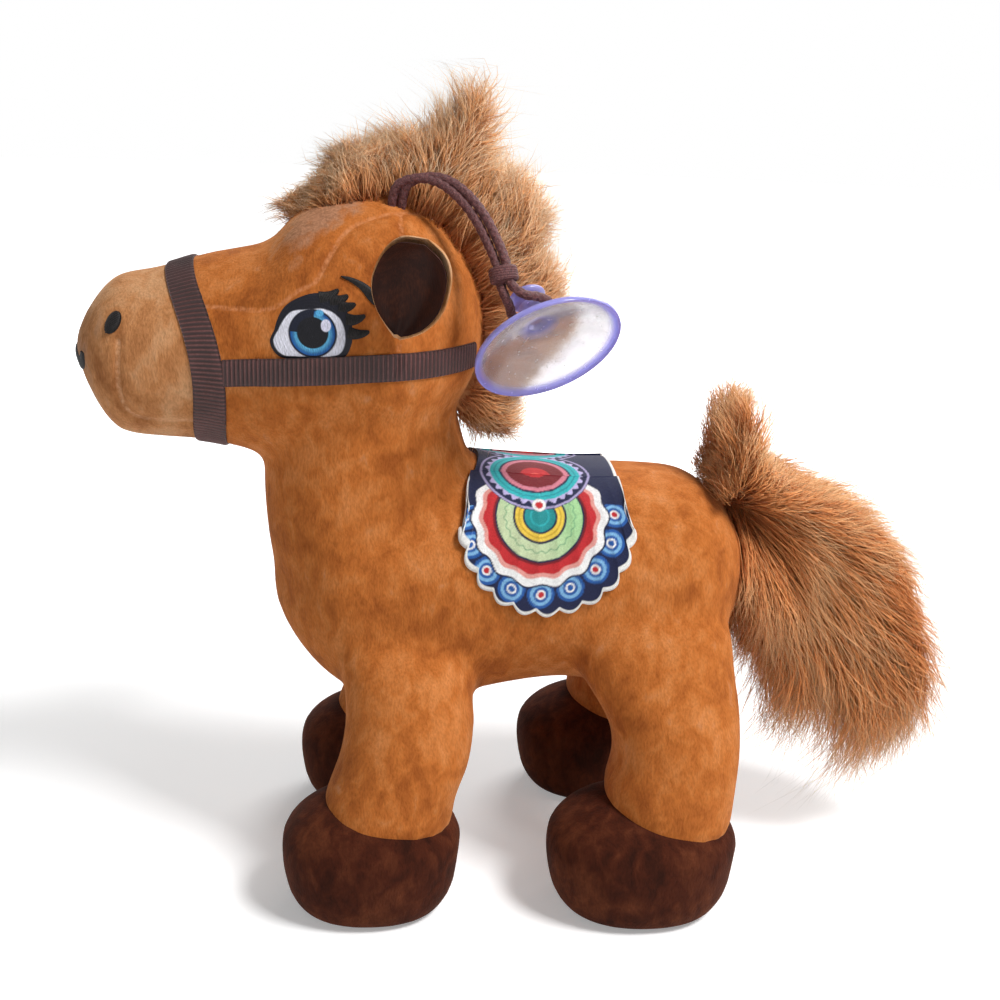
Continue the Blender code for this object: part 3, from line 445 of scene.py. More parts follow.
class Dye(Nodes):
    """A procedural material and the nodes that it is made of."""

    def __init__(self, name: str, **sockets: Any) -> None:
        """Start from one Principled shader.

        Args:
            name: the material's name.
            **sockets: values of the shader's sockets, with _ for a space.
        """
        self.material = bpy.data.materials.new(name)
        self.material.use_nodes = True
        super().__init__(self.material.node_tree)
        self.shader = self.tree.nodes["Principled BSDF"]
        self.give(**sockets)

    def give(self, **sockets: Any) -> None:
        """Feed the shader's sockets, named with _ for a space."""
        for socket, value in sockets.items():
            self.feed(self.shader.inputs[socket.replace("_", " ")], value)

    def drawn(self) -> Any:
        """The colours that the piece's points hold."""
        return self.node("Attribute", attribute_name="dye").outputs["Color"]

    def place(self, stretch: Triple = (1, 1, 1), turn: float = 0.0) -> Any:
        """Object coordinates, stretched along the axes and turned about Y.

        Args:
            stretch: the scale along each axis.
            turn: the angle about Y.

        Returns:
            The output with the coordinates.
        """
        where = self.node("TexCoord").outputs["Object"]
        if stretch == (1, 1, 1):
            return where
        return self.node("Mapping", {"Vector": where, "Scale": stretch, "Rotation": (0, turn, 0)})

    def noise(self, size: float, detail: float = 2.0, where: Any = None, warp: float = 0.0) -> Any:
        """Noise whose features are about a size across, in metres.

        Args:
            size: the size in metres.
            detail: how many finer layers it has.
            where: the coordinates, or None for the object's own.
            warp: how far it distorts itself.

        Returns:
            The output, 0 to 1.
        """
        inputs = {"Scale": 1 / size, "Detail": detail, "Distortion": warp}
        inputs["Vector"] = self.place() if where is None else where
        return self.node("TexNoise", inputs).outputs["Fac"]

    def ramp(self, value: Any, *stops: tuple[float, Triple | float]) -> Any:
        """A value turned into a colour, by stops of place and colour or grey.

        Args:
            value: the output that is turned into a colour.
            *stops: places from 0 to 1, each with a colour or a grey.

        Returns:
            The node.
        """
        made = self.node("ValToRGB", {0: value})
        elements = made.color_ramp.elements
        while len(elements) < len(stops):
            elements.new(0.5)
        for element, (place, colour) in zip(elements, stops):
            element.position = place
            element.color = (*(colour if isinstance(colour, tuple) else (colour,) * 3), 1.0)
        return made

    def mix(self, share: Any, first: Any, second: Any, blend: str = "MIX") -> Any:
        """Two colours mixed by a share.

        Args:
            share: how much of the second colour there is.
            first: the first colour.
            second: the second colour.
            blend: the way that they mix.

        Returns:
            The output with the colour.
        """
        made = self.node("Mix", data_type="RGBA", blend_type=blend)
        for key, value in ((0, share), (6, first), (7, second)):
            self.feed(made.inputs[key], (*value, 1.0) if isinstance(value, tuple) else value)
        return made.outputs[2]

    def bump(self, height: Any, distance: float, strength: float = 1.0, below: Any = None) -> Any:
        """Feed a height to the shader's normal, over another bump where there is one.

        Args:
            height: the height, 0 to 1.
            distance: how far a height of 1 stands up.
            strength: how much of it shows.
            below: the bump that it lies on.

        Returns:
            The node.
        """
        inputs = {"Height": height, "Distance": distance, "Strength": strength}
        if below is not None:
            inputs["Normal"] = below
        made = self.node("Bump", inputs)
        self.give(Normal=made)
        return made

    def dress(self, *pieces: Piece) -> None:
        """Make this the only material of the pieces."""
        for piece in pieces:
            piece.data.materials.clear()
            piece.data.materials.append(self.material)


@dataclass(frozen=True)
class PlushFinish:
    """Short pile: mottled where it is brushed both ways, with a sheen, a lighter line at seams and grey
    patches of painted shade and sheen.
    """

    name: str
    dark: Triple
    middle: Triple
    light: Triple
    sheen: float = 0.35
    seams: bool = False
    # the grey of the patches where shade and a greyish sheen are painted on the pile
    brushed: Triple = (0.33, 0.165, 0.095)

    def dye(self) -> Dye:
        """Mix the colours, the nap and the sheen, and, where it has seams, the line along them and the grey
        patches of painted shade and sheen.

        Returns:
            The material.
        """
        made = Dye(self.name, Roughness=0.92, Sheen_Weight=self.sheen, Sheen_Roughness=0.38)
        made.give(Sheen_Tint=(*(c**0.6 for c in self.light), 1.0), Specular_IOR_Level=0.15)
        brushed = made.noise(15 * MM, 2, warp=0.5)
        nap = made.noise(3.2 * MM, 3, made.place((1, 1, 0.6), 0.5), 0.5)
        fibre = made.noise(0.42 * MM, 2, made.place((1, 1, 0.4), 0.5))
        both = made.maths("MULTIPLY_ADD", brushed, 0.5, made.maths("MULTIPLY", nap, 0.5))
        colour = made.ramp(both, (0.36, self.dark), (0.49, self.middle), (0.66, self.light))
        speckle = made.ramp(fibre, (0.3, (0.78, 0.77, 0.75)), (0.62, (1.08, 1.09, 1.11)))
        colour = made.mix(0.8, colour, speckle, "MULTIPLY")
        if self.seams:
            # Where the dye's second channel says, the pile is painted greyer: painted shade on the front of
            # the muzzle and a painted greyish sheen on the forehead and the legs.
            seam, grey_patch_share, _ = made.node("SeparateColor", {0: made.drawn()}).outputs
            bright = tuple(1.5 * c for c in self.brushed)
            rough = made.ramp(made.noise(0.8 * MM, 3), (0.38, self.brushed), (0.62, bright))
            patchy = made.maths("MULTIPLY_ADD", made.maths("SUBTRACT", nap, 0.5), 1.6, grey_patch_share)
            colour = made.mix(made.ramp(patchy, (0.25, 0), (0.75, 0.85)), colour, rough)
            line = made.ramp(seam, (0.0, 1), (0.09, 0.8), (0.24, 0))
            broken = made.ramp(made.noise(0.9 * MM, 2), (0.35, 0.15), (0.62, 0.75))
            share = made.maths("MULTIPLY", line, broken)
            colour = made.mix(share, colour, tuple(min(1.0, 1.1 * c + 0.06) for c in self.light))
        made.give(Base_Color=colour)
        made.bump(fibre, 0.3 * MM, 0.6, made.bump(nap, 0.6 * MM, 0.3))
        return made


@dataclass(frozen=True)
class FurFinish:
    """Fur fibres: dark at the root and light at the tip, each fibre and each lock a little apart."""

    name: str
    root: Triple
    middle: Triple
    tip: Triple

    def dye(self) -> Dye:
        """Mix the colours along a fibre with the fibre's and the lock's own shade.

        Returns:
            The material.
        """
        made = Dye(self.name, Roughness=0.6, Sheen_Weight=0.3, Sheen_Roughness=0.45)
        made.give(Sheen_Tint=(*self.tip, 1.0), Specular_IOR_Level=0.3)
        along, own, lock = made.node("SeparateColor", {0: made.drawn()}).outputs
        colour = made.ramp(along, (0.0, self.root), (0.45, self.middle), (1.0, self.tip))
        own = made.ramp(own, (0.0, (0.78, 0.75, 0.72)), (1.0, (1.18, 1.20, 1.24)))
        lock = made.ramp(lock, (0.0, (0.84, 0.81, 0.79)), (1.0, (1.08, 1.09, 1.10)))
        colour = made.mix(1.0, made.mix(1.0, colour, own, "MULTIPLY"), lock, "MULTIPLY")
        made.give(Base_Color=colour)
        return made


# ---- Stuffed forms and fibres


@dataclass(frozen=True)
class StuffedForm:
    """A stuffed form of rounded rings along X or Z, in millimetres.

    A row of its table holds the place along, the low side, the high side, the width and, where the
    form splays, how far it has moved sideways. A ring is a superellipse; towards a rounded end it
    closes as a quarter circle does.
    """

    upright: bool
    start: float
    length: float
    low: float
    depth: float
    width: float
    rows: Rows
    round_start: float = 0.0
    round_end: float = 0.0
    side: float = 0.0
    splay: float = 0.0
    fullness: float = 2.25

    def skin(self, place: Array, turn: Array, grow: float = 0.0) -> Array:
        """Points of the skin in metres.

        Args:
            place: places along the form, 0 to 1.
            turn: angles round it, 0 at its high side.
            grow: how far outside the skin they lie.

        Returns:
            The points, with x, y and z along the last axis.
        """
        row = smooth_rows(self.rows, place)
        opened = np.ones_like(place)
        for end, rounding in ((place, self.round_start), (1 - place, self.round_end)):
            if rounding:
                closing = np.clip(1 - end / rounding, 0, 1)
                opened = np.minimum(opened, np.sqrt(1 - closing**2))
        half_depth = self.depth * (row[..., 1] - row[..., 0]) / 2 * opened + grow
        half_width = self.width * row[..., 2] / 2 * opened + grow
        c, s = np.cos(turn), np.sin(turn)
        power = 2 / self.fullness
        across = self.low + self.depth * (row[..., 0] + row[..., 1]) / 2
        across = across + half_depth * np.sign(c) * np.abs(c) ** power
        sideways = self.side + (self.splay * row[..., 3] if row.shape[-1] > 3 else 0.0)
        sideways = sideways + half_width * np.sign(s) * np.abs(s) ** power
        along = self.start - grow + (self.length + 2 * grow) * place
        order = (across, sideways, along) if self.upright else (along, sideways, across)
        return np.stack(np.broadcast_arrays(*order), axis=-1) * MM

    def ring(self, place: Array) -> tuple[Array, Array, Array]:
        """The low side, the high side and the width of the rings at places along the form."""
        row = smooth_rows(self.rows, place)
        return *(self.low + self.depth * row[..., k] for k in (0, 1)), self.width * row[..., 2]

    def ridge(self, place: Array, aside: Array) -> tuple[Array, Array]:
        """How high a ring reaches aside from its middle, by its superellipse, and that share."""
        low, high, wide = self.ring(place)
        share = np.clip(1 - np.abs(2 * aside / wide) ** self.fullness, 0, 1)
        return (low + high) / 2 + (high - low) / 2 * share ** (1 / self.fullness), share

    def flank(self, place: Array, height: Array) -> Array:
        """How far out a ring reaches at a height, by its superellipse."""
        low, high, wide = self.ring(place)
        share = np.clip(1 - np.abs((2 * height - low - high) / (high - low)) ** self.fullness, 0, 1)
        return wide / 2 * share ** (1 / self.fullness)

    def shell(self, grow: float = 0.0, rings: int = 56, sides: int = 64) -> tuple[Array, Array]:
        """Points and quads of the closed form; its ends draw in to a point."""
        place = (1 - np.cos(np.linspace(0, pi, rings))) / 2
        turn = turns(sides)
        points = self.skin(place[:, None], turn[None, :], grow)
        return closed_ends(points).reshape(-1, 3), grid_faces(rings + 2, sides, wraps=True)


@dataclass(frozen=True)
class Filling:
    """How a cover is filled: the size of its cells, how far it may swell and how its joins soften."""

    cell: float = 2.2 * MM
    swell: float = 0.9 * MM
    soften: int = 6
    pressure: float = 4.0
    frames: int = 20
    level: int = 1

    def cover(self, name: str, *shells: tuple[Array, Array]) -> Piece:
        """One padded cover round closed shells.

        The shells are fused on a lattice and softened where they meet. Then the cover is blown up
        as cloth, with no gravity and its swelling capped, and subdivided.

        Args:
            name: the cover's name.
            *shells: points and quads of the closed shells.

        Returns:
            The cover.
        """
        points, faces, first = [], [], 0
        for shell_points, shell_faces in shells:
            points.append(shell_points)
            faces.append(shell_faces + first)
            first += len(shell_points)
        piece = new_piece(name, np.concatenate(points), np.concatenate(faces))
        fuse = piece.modifiers.new("fuse", "REMESH")
        fuse.mode = "VOXEL"
        fuse.voxel_size = self.cell
        soften = piece.modifiers.new("soften", "SMOOTH")
        soften.factor = 0.5
        soften.iterations = self.soften
        settle(piece)
        self.swell_out(piece)
        finer = piece.modifiers.new("finer", "SUBSURF")
        finer.levels = finer.render_levels = self.level
        return settle(piece)

    def swell_out(self, piece: Piece) -> None:
        """Blow a cover up as cloth and keep its shape, no point moved further than the cap.

        Args:
            piece: the cover.
        """
        scene = bpy.context.scene
        rest = mesh_points(piece)
        cloth = piece.modifiers.new("fill", "CLOTH")
        cloth.settings.use_pressure = True
        cloth.settings.uniform_pressure_force = self.pressure
        cloth.settings.quality = 4
        cloth.settings.mass = 0.2
        cloth.settings.effector_weights.gravity = 0
        cloth.point_cache.frame_start, cloth.point_cache.frame_end = 1, self.frames
        for frame in range(self.frames):
            scene.frame_set(frame + 1)
        moved = mesh_points(settle(piece)) - rest
        scene.frame_set(1)
        reach = np.linalg.norm(moved, axis=1, keepdims=True)
        set_points(piece, rest + moved * np.minimum(1, self.swell / np.maximum(reach, 1e-9)))


@dataclass(frozen=True)
class Fibres:
    """Thin tapered fibres with three sides, which curve, wave and gather in locks."""

    width: float
    steps: int = 4
    wave: float = 0.05
    turns: float = 1.3
    gather: float = 0.45
    locks: int = 0

    def grow(
        self,
        name: str,
        chance: np.random.Generator,
        roots: Array,
        heads: Array,
        bend: Array,
    ) -> Piece:
        """One piece of fibres.

        A fibre's centre line is root + head t + bend t^2 + a sine wave that widens with t, drawn to
        its lock's leader by gather t^1.5. Its rings shrink with the root of 1 - t to a point.

        Args:
            name: the piece's name.
            chance: the seeded source of random numbers.
            roots: where the fibres start.
            heads: the vectors from root to tip before bending.
            bend: how far each tip is bent.

        Returns:
            The piece, whose dye holds the place along, the fibre's and the lock's own shade.
        """
        count = len(roots)
        t = np.linspace(0, 1, self.steps + 1)[None, :, None]
        reach = np.linalg.norm(heads, axis=1)[:, None, None]
        axis = unit(heads)
        aside = unit(np.cross(axis, unit(chance.normal(size=(count, 3)))))
        above = np.cross(axis, aside)
        phase = chance.uniform(0, tau, (count, 1, 1))
        path = roots[:, None] + heads[:, None] * t + bend[:, None] * t**2
        path = path + aside[:, None] * reach * self.wave * t * np.sin(tau * self.turns * t + phase)
        lock = np.zeros(count, dtype=int)
        if self.locks:
            leaders = chance.choice(count, self.locks, replace=False)
            middle = roots + heads * 0.5
            for part in np.array_split(np.arange(count), max(1, count // CHUNK)):
                apart = ((middle[part, None] - middle[leaders][None]) ** 2).sum(axis=2)
                lock[part] = apart.argmin(axis=1)
            path = path + (path[leaders[lock]] - path) * self.gather * t**1.5
        ring = spokes(aside, above, turns(3))
        radius = self.width / 2 * (1 - t[:, :-1, :, None]) ** 0.5
        body = path[:, :-1, None] + ring[:, None] * radius
        points = np.concatenate([body.reshape(count, -1, 3), path[:, -1:]], axis=1)
        k, j = np.meshgrid(np.arange(self.steps - 1) * 3, np.arange(3), indexing="ij")
        n = (j + 1) % 3
        sides = [np.stack([k + j, k + n, k + 3 + n], -1), np.stack([k + j, k + 3 + n, k + 3 + j], -1)]
        last = (self.steps - 1) * 3
        tip = [[last + a, last + (a + 1) % 3, last + 3] for a in range(3)]
        one = np.concatenate([[[0, 2, 1]], *(s.reshape(-1, 3) for s in sides), tip])
        faces = (one[None] + np.arange(count)[:, None, None] * points.shape[1]).reshape(-1, 3)
        along = np.append(np.repeat(t[0, :-1, 0], 3), 1.0)
        shade = np.ones((count, points.shape[1], 4))
        shade[..., 0] = along
        shade[..., 1] = chance.uniform(0, 1, (count, 1))
        shade[..., 2] = chance.uniform(0, 1, max(1, self.locks))[lock][:, None]
        return new_piece(name, points, faces, shade)


# ---- Sewn covers


@dataclass
class Covers:
    """Plush covers and their filling: the body with neck, head and legs, the muzzle and the hooves.

    Sizes are in millimetres. The tables repeat those of the part's solids. A leg or hoof is its
    lowest place, height, front, depth, width and place to the side, and a leg's move sideways.
    """

    tuck: float = 0.55
    filling: Filling = Filling(cell=1.9 * MM)
    hoof_filling: Filling = Filling(cell=1.5 * MM, swell=0.6 * MM, soften=4)
    seam_width: float = 0.75
    seam_depth: float = 0.5
    seam_step: float = 0.5
    seam_beside: float = 0.01
    seam_fade: float = 3.0
    hoof_tuck: float = 0.3
    band_place: tuple[float, float] = (-75.4, 121.8)
    band_lean: float = radians(10.5)
    torso: StuffedForm = StuffedForm(
        False, -60.6, 110.5, 41.5, 55.8, 53.0,
        (
            (0.00, 0.16, 0.80, 0.80), (0.10, 0.07, 0.92, 0.90), (0.22, 0.00, 0.99, 0.97),
            (0.38, 0.01, 1.00, 1.00), (0.52, 0.06, 0.985, 0.98), (0.62, 0.075, 0.975, 0.98),
            (0.74, 0.03, 0.975, 1.01), (0.88, 0.08, 0.955, 0.99), (1.00, 0.22, 0.91, 0.88),
        ),
        0.18, 0.17,
    )
    neck: StuffedForm = StuffedForm(
        True, 66.0, 46.0, -62.6, 62.0, 49.0,
        (
            (0.00, 0.06, 1.00, 1.00), (0.26, 0.02, 0.95, 0.96), (0.50, 0.00, 0.80, 0.89),
            (0.68, 0.00, 0.76, 0.86), (0.85, 0.02, 0.73, 0.83), (1.00, 0.06, 0.70, 0.80),
        ),
    )
    head: StuffedForm = StuffedForm(
        False, -102.0, 89.8, 97.3, 59.0, 49.0,
        (
            (0.00, 0.24, 0.60, 0.60), (0.09, 0.10, 0.68, 0.64), (0.20, 0.075, 0.715, 0.70),
            (0.30, 0.065, 0.765, 0.72), (0.40, 0.03, 0.80, 0.79), (0.47, 0.005, 0.83, 0.87),
            (0.53, 0.00, 0.925, 0.93), (0.62, 0.00, 0.98, 0.98), (0.74, 0.01, 1.00, 1.00),
            (0.86, 0.03, 0.985, 0.98), (1.00, 0.10, 0.93, 0.92),
        ),
        0.12, 0.27,
    )
    foreleg_shift: float = 2.4
    front_leg: tuple[float, ...] = (19.0, 48.0, -49.5, 36.0, 28.0, 26.0, 11.0)
    hind_leg: tuple[float, ...] = (19.0, 55.0, 5.5, 39.5, 29.0, 29.0, 12.5)
    front_hoof: tuple[float, ...] = (0.0, 28.5, -57.8, 40.2, 33.0, 26.0)
    hind_hoof: tuple[float, ...] = (0.0, 28.5, 1.2, 43.4, 35.0, 29.0)
    front_leg_rows: Rows = (
        (0.00, 0.00, 0.84, 1.00, 0.00), (0.16, 0.03, 0.86, 1.00, 0.03), (0.32, 0.11, 0.94, 1.00, 0.14),
        (0.48, 0.15, 0.97, 0.98, 0.33), (0.66, 0.14, 0.955, 0.94, 0.58), (0.84, 0.10, 0.95, 0.86, 0.82),
        (1.00, 0.12, 0.90, 0.76, 1.00),
    )
    hind_leg_rows: Rows = (
        (0.00, 0.27, 0.95, 0.98, 0.00), (0.16, 0.20, 0.97, 1.00, 0.04), (0.30, 0.25, 0.99, 1.00, 0.14),
        (0.42, 0.23, 0.995, 1.00, 0.28), (0.52, 0.16, 0.99, 0.99, 0.42), (0.66, 0.04, 0.97, 0.96, 0.63),
        (0.84, 0.04, 0.95, 0.88, 0.86), (1.00, 0.14, 0.90, 0.74, 1.00),
    )
    hoof_rows: Rows = (
        (0.00, 0.145, 0.86, 0.76), (0.03, 0.105, 0.895, 0.82), (0.09, 0.068, 0.925, 0.88),
        (0.20, 0.03, 0.965, 0.94), (0.45, 0.00, 0.99, 1.00), (0.68, 0.005, 1.00, 1.00),
        (1.00, 0.04, 0.93, 0.96),
    )
    side_seams: tuple[Rows, ...] = (
        (
            (-72.5, 132.6), (-64.3, 132.5), (-60.2, 132.6), (-56.6, 134.2), (-53.6, 136.6),
            (-50.0, 138.6), (-47.4, 143.0), (-43.9, 148.3), (-39.5, 150.8), (-33.0, 152.2),
            (-27.0, 151.6), (-22.0, 149.7), (-17.0, 145.6),
        ),
        ((-32.6, 152.2), (-32.4, 148.2)),
        ((-90.2, 125.0), (-90.5, 119.0), (-90.2, 113.0), (-88.6, 109.4), (-84.9, 107.9), (-74.0, 107.6)),
        ((-32.8, 126.5), (-32.9, 121.5)),
    )
    # Grey patches of painted shade and sheen, mirrored to both sides: middle x, y and z, size and share.
    # Shade on the front of the muzzle, a greyish sheen on the forehead and the legs.
    grey_patches: Rows = (
        (-52.0, 11.0, 148.0, 7.5, 0.85), (-46.0, 8.0, 153.0, 6.0, 0.6), (-103.0, 4.0, 121.0, 9.0, 0.9),
        (-99.0, 0.0, 110.0, 7.0, 0.6), (-35.0, 25.0, 30.0, 7.0, 0.4), (33.0, 24.0, 46.0, 7.0, 0.35),
    )
    muzzle_finish: PlushFinish = PlushFinish(
        "muzzle_plush", (0.36, 0.135, 0.045), (0.52, 0.225, 0.085), (0.62, 0.33, 0.16), 0.4, True
    )
    body_finish: PlushFinish = PlushFinish(
        "caramel_plush", (0.34, 0.090, 0.016), (0.49, 0.145, 0.028), (0.62, 0.225, 0.065), 0.4, True
    )
    hoof_finish: PlushFinish = PlushFinish(
        "chocolate_plush", (0.026, 0.0055, 0.002), (0.060, 0.0125, 0.0045), (0.12, 0.032, 0.012), 0.12
    )
    pieces: dict[str, Piece] = field(default_factory=dict)

    def leg(self, front: bool, side: Side) -> StuffedForm:
        """The form of one leg, which stands apart below and tucks in to the body above.

        Args:
            front: whether it is a foreleg.
            side: the side of the horse.

        Returns:
            The form.
        """
        *sizes, gauge, tuck = self.front_leg if front else self.hind_leg
        sizes[2] += self.shift_of(front, side)
        rows = self.front_leg_rows if front else self.hind_leg_rows
        return StuffedForm(True, *sizes, rows, 0.0, 0.24, side.value * gauge, -side.value * tuck)

    def hoof(self, front: bool, side: Side) -> StuffedForm:
        """The form of one hoof, flat below and domed above."""
        *sizes, gauge = self.front_hoof if front else self.hind_hoof
        sizes[2] += self.shift_of(front, side)
        return StuffedForm(True, *sizes, self.hoof_rows, 0.0, 0.42, gauge * side.value)

    def shift_of(self, front: bool, side: Side) -> float:
        """How far back a leg stands from its place: the right foreleg stands a little behind."""
        return self.foreleg_shift if front and side is Side.RIGHT else 0.0

    def sew(self, cover: Piece) -> None:
        """Sink the seams into a cover and note every point's distance from them in its dye.

        A seam is a line seen from the side and laid on both sides. The groove is a bell curve of
        the distance from it.

        Args:
            cover: the whole cover.
        """
        lines = []
        for seam in self.side_seams:
            flat = np.array(seam)
            run = run_along(flat)
            places = np.linspace(0, run[-1], int(run[-1] / self.seam_step) + 2)
            spots = smooth_rows(np.column_stack([run, flat]), places)
            for side in Side:
                x, z = np.stack([spots, spots + self.seam_beside]).transpose(2, 0, 1)
                lines.append(laid_view(x, z, cover, side)[0])
        thread = np.concatenate(lines)
        points = mesh_points(cover)
        apart = np.empty(len(points))
        for part in np.array_split(np.arange(len(points)), len(points) // CHUNK + 1):
            apart[part] = np.sqrt(((points[part, None] - thread[None]) ** 2).sum(-1)).min(axis=1)
        groove = np.exp(-((apart / (self.seam_width * MM)) ** 2)) * self.seam_depth * MM
        set_points(cover, points - mesh_points(cover, "normal") * groove[:, None])
        dye = np.zeros((len(points), 4))
        dye[:, 0] = np.clip(apart / (self.seam_fade * MM), 0, 1)
        folded = points / MM
        folded[:, 1] = np.abs(folded[:, 1])
        # Channel 1 holds the share of the grey patches of painted shade and sheen.
        for *middle, size, share in self.grey_patches:
            away = (((folded - middle) / size) ** 2).sum(axis=1)
            dye[:, 1] += share * np.exp(-away) * (1 + 0.5 * value_noise(folded, 3.0, 7))
        set_dye(cover.data, dye)

    def part(self, cover: Piece, name: str, front: bool) -> Piece:
        """The part of the cover before or behind the seam under the noseband, closed there.

        Args:
            cover: the whole cover.
            name: the part's name.
            front: whether it is the part before the seam.

        Returns:
            The piece.
        """
        piece = bpy.data.objects.new(name, cover.data.copy())
        bpy.context.scene.collection.objects.link(piece)
        shell = bmesh.new()
        shell.from_mesh(piece.data)
        x, z = self.band_place
        ahead = (-cos(self.band_lean), 0.0, -sin(self.band_lean))
        cut = bmesh.ops.bisect_plane(
            shell,
            geom=[*shell.verts, *shell.edges, *shell.faces],
            plane_co=(x * MM, 0.0, z * MM),
            plane_no=ahead,
            clear_inner=front,
            clear_outer=not front,
        )
        edges = [e for e in cut["geom_cut"] if isinstance(e, bmesh.types.BMEdge)]
        bmesh.ops.holes_fill(shell, edges=edges)
        shell.to_mesh(piece.data)
        shell.free()
        return piece

    def build(self) -> list[Piece]:
        """Fill and sew the covers.

        Returns:
            The covers in the order muzzle, body and the four hooves.
        """
        legs = [self.leg(front, side) for front in (True, False) for side in Side]
        shells = [form.shell(-self.tuck) for form in (self.torso, self.neck, self.head, *legs)]
        self.whole = self.filling.cover("whole_cover", *shells)
        self.sew(self.whole)
        self.pieces["muzzle_cover"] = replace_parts(self.part(self.whole, "muzzle_cover", True), "muzzle")
        body = self.part(self.whole, "body_cover", False)
        ends = [f"leg_{end}_{side.hand}" for end in ("front", "hind") for side in Side]
        self.pieces["body_cover"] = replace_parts(body, "torso", "neck", "head", *ends)
        for front, end in ((True, "front"), (False, "hind")):
            for side in Side:
                name = f"hoof_{end}_{side.hand}"
                form = self.hoof(front, side).shell(-self.hoof_tuck)
                hoof = self.hoof_filling.cover(f"{name}_cover", form)
                points = mesh_points(hoof)
                points[:, 2] = np.maximum(points[:, 2], 0.0)
                set_points(hoof, points)
                self.pieces[name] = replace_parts(hoof, name)
        return list(self.pieces.values())

    def dress(self) -> None:
        """Give the covers their plush and say which body they ride on."""
        body, muzzle, hoof = self.body_finish.dye(), self.muzzle_finish.dye(), self.hoof_finish.dye()
        for name, piece in self.pieces.items():
            dye = {"muzzle_cover": muzzle, "body_cover": body}.get(name, hoof)
            dye.dress(piece)
            slot = {"muzzle_cover": "muzzle_plush", "body_cover": "plush"}.get(name, "hoof_plush")
            place_on("horse", slot, piece)
        bpy.data.objects.remove(self.whole, do_unlink=True)


# ---- Ribbon halter


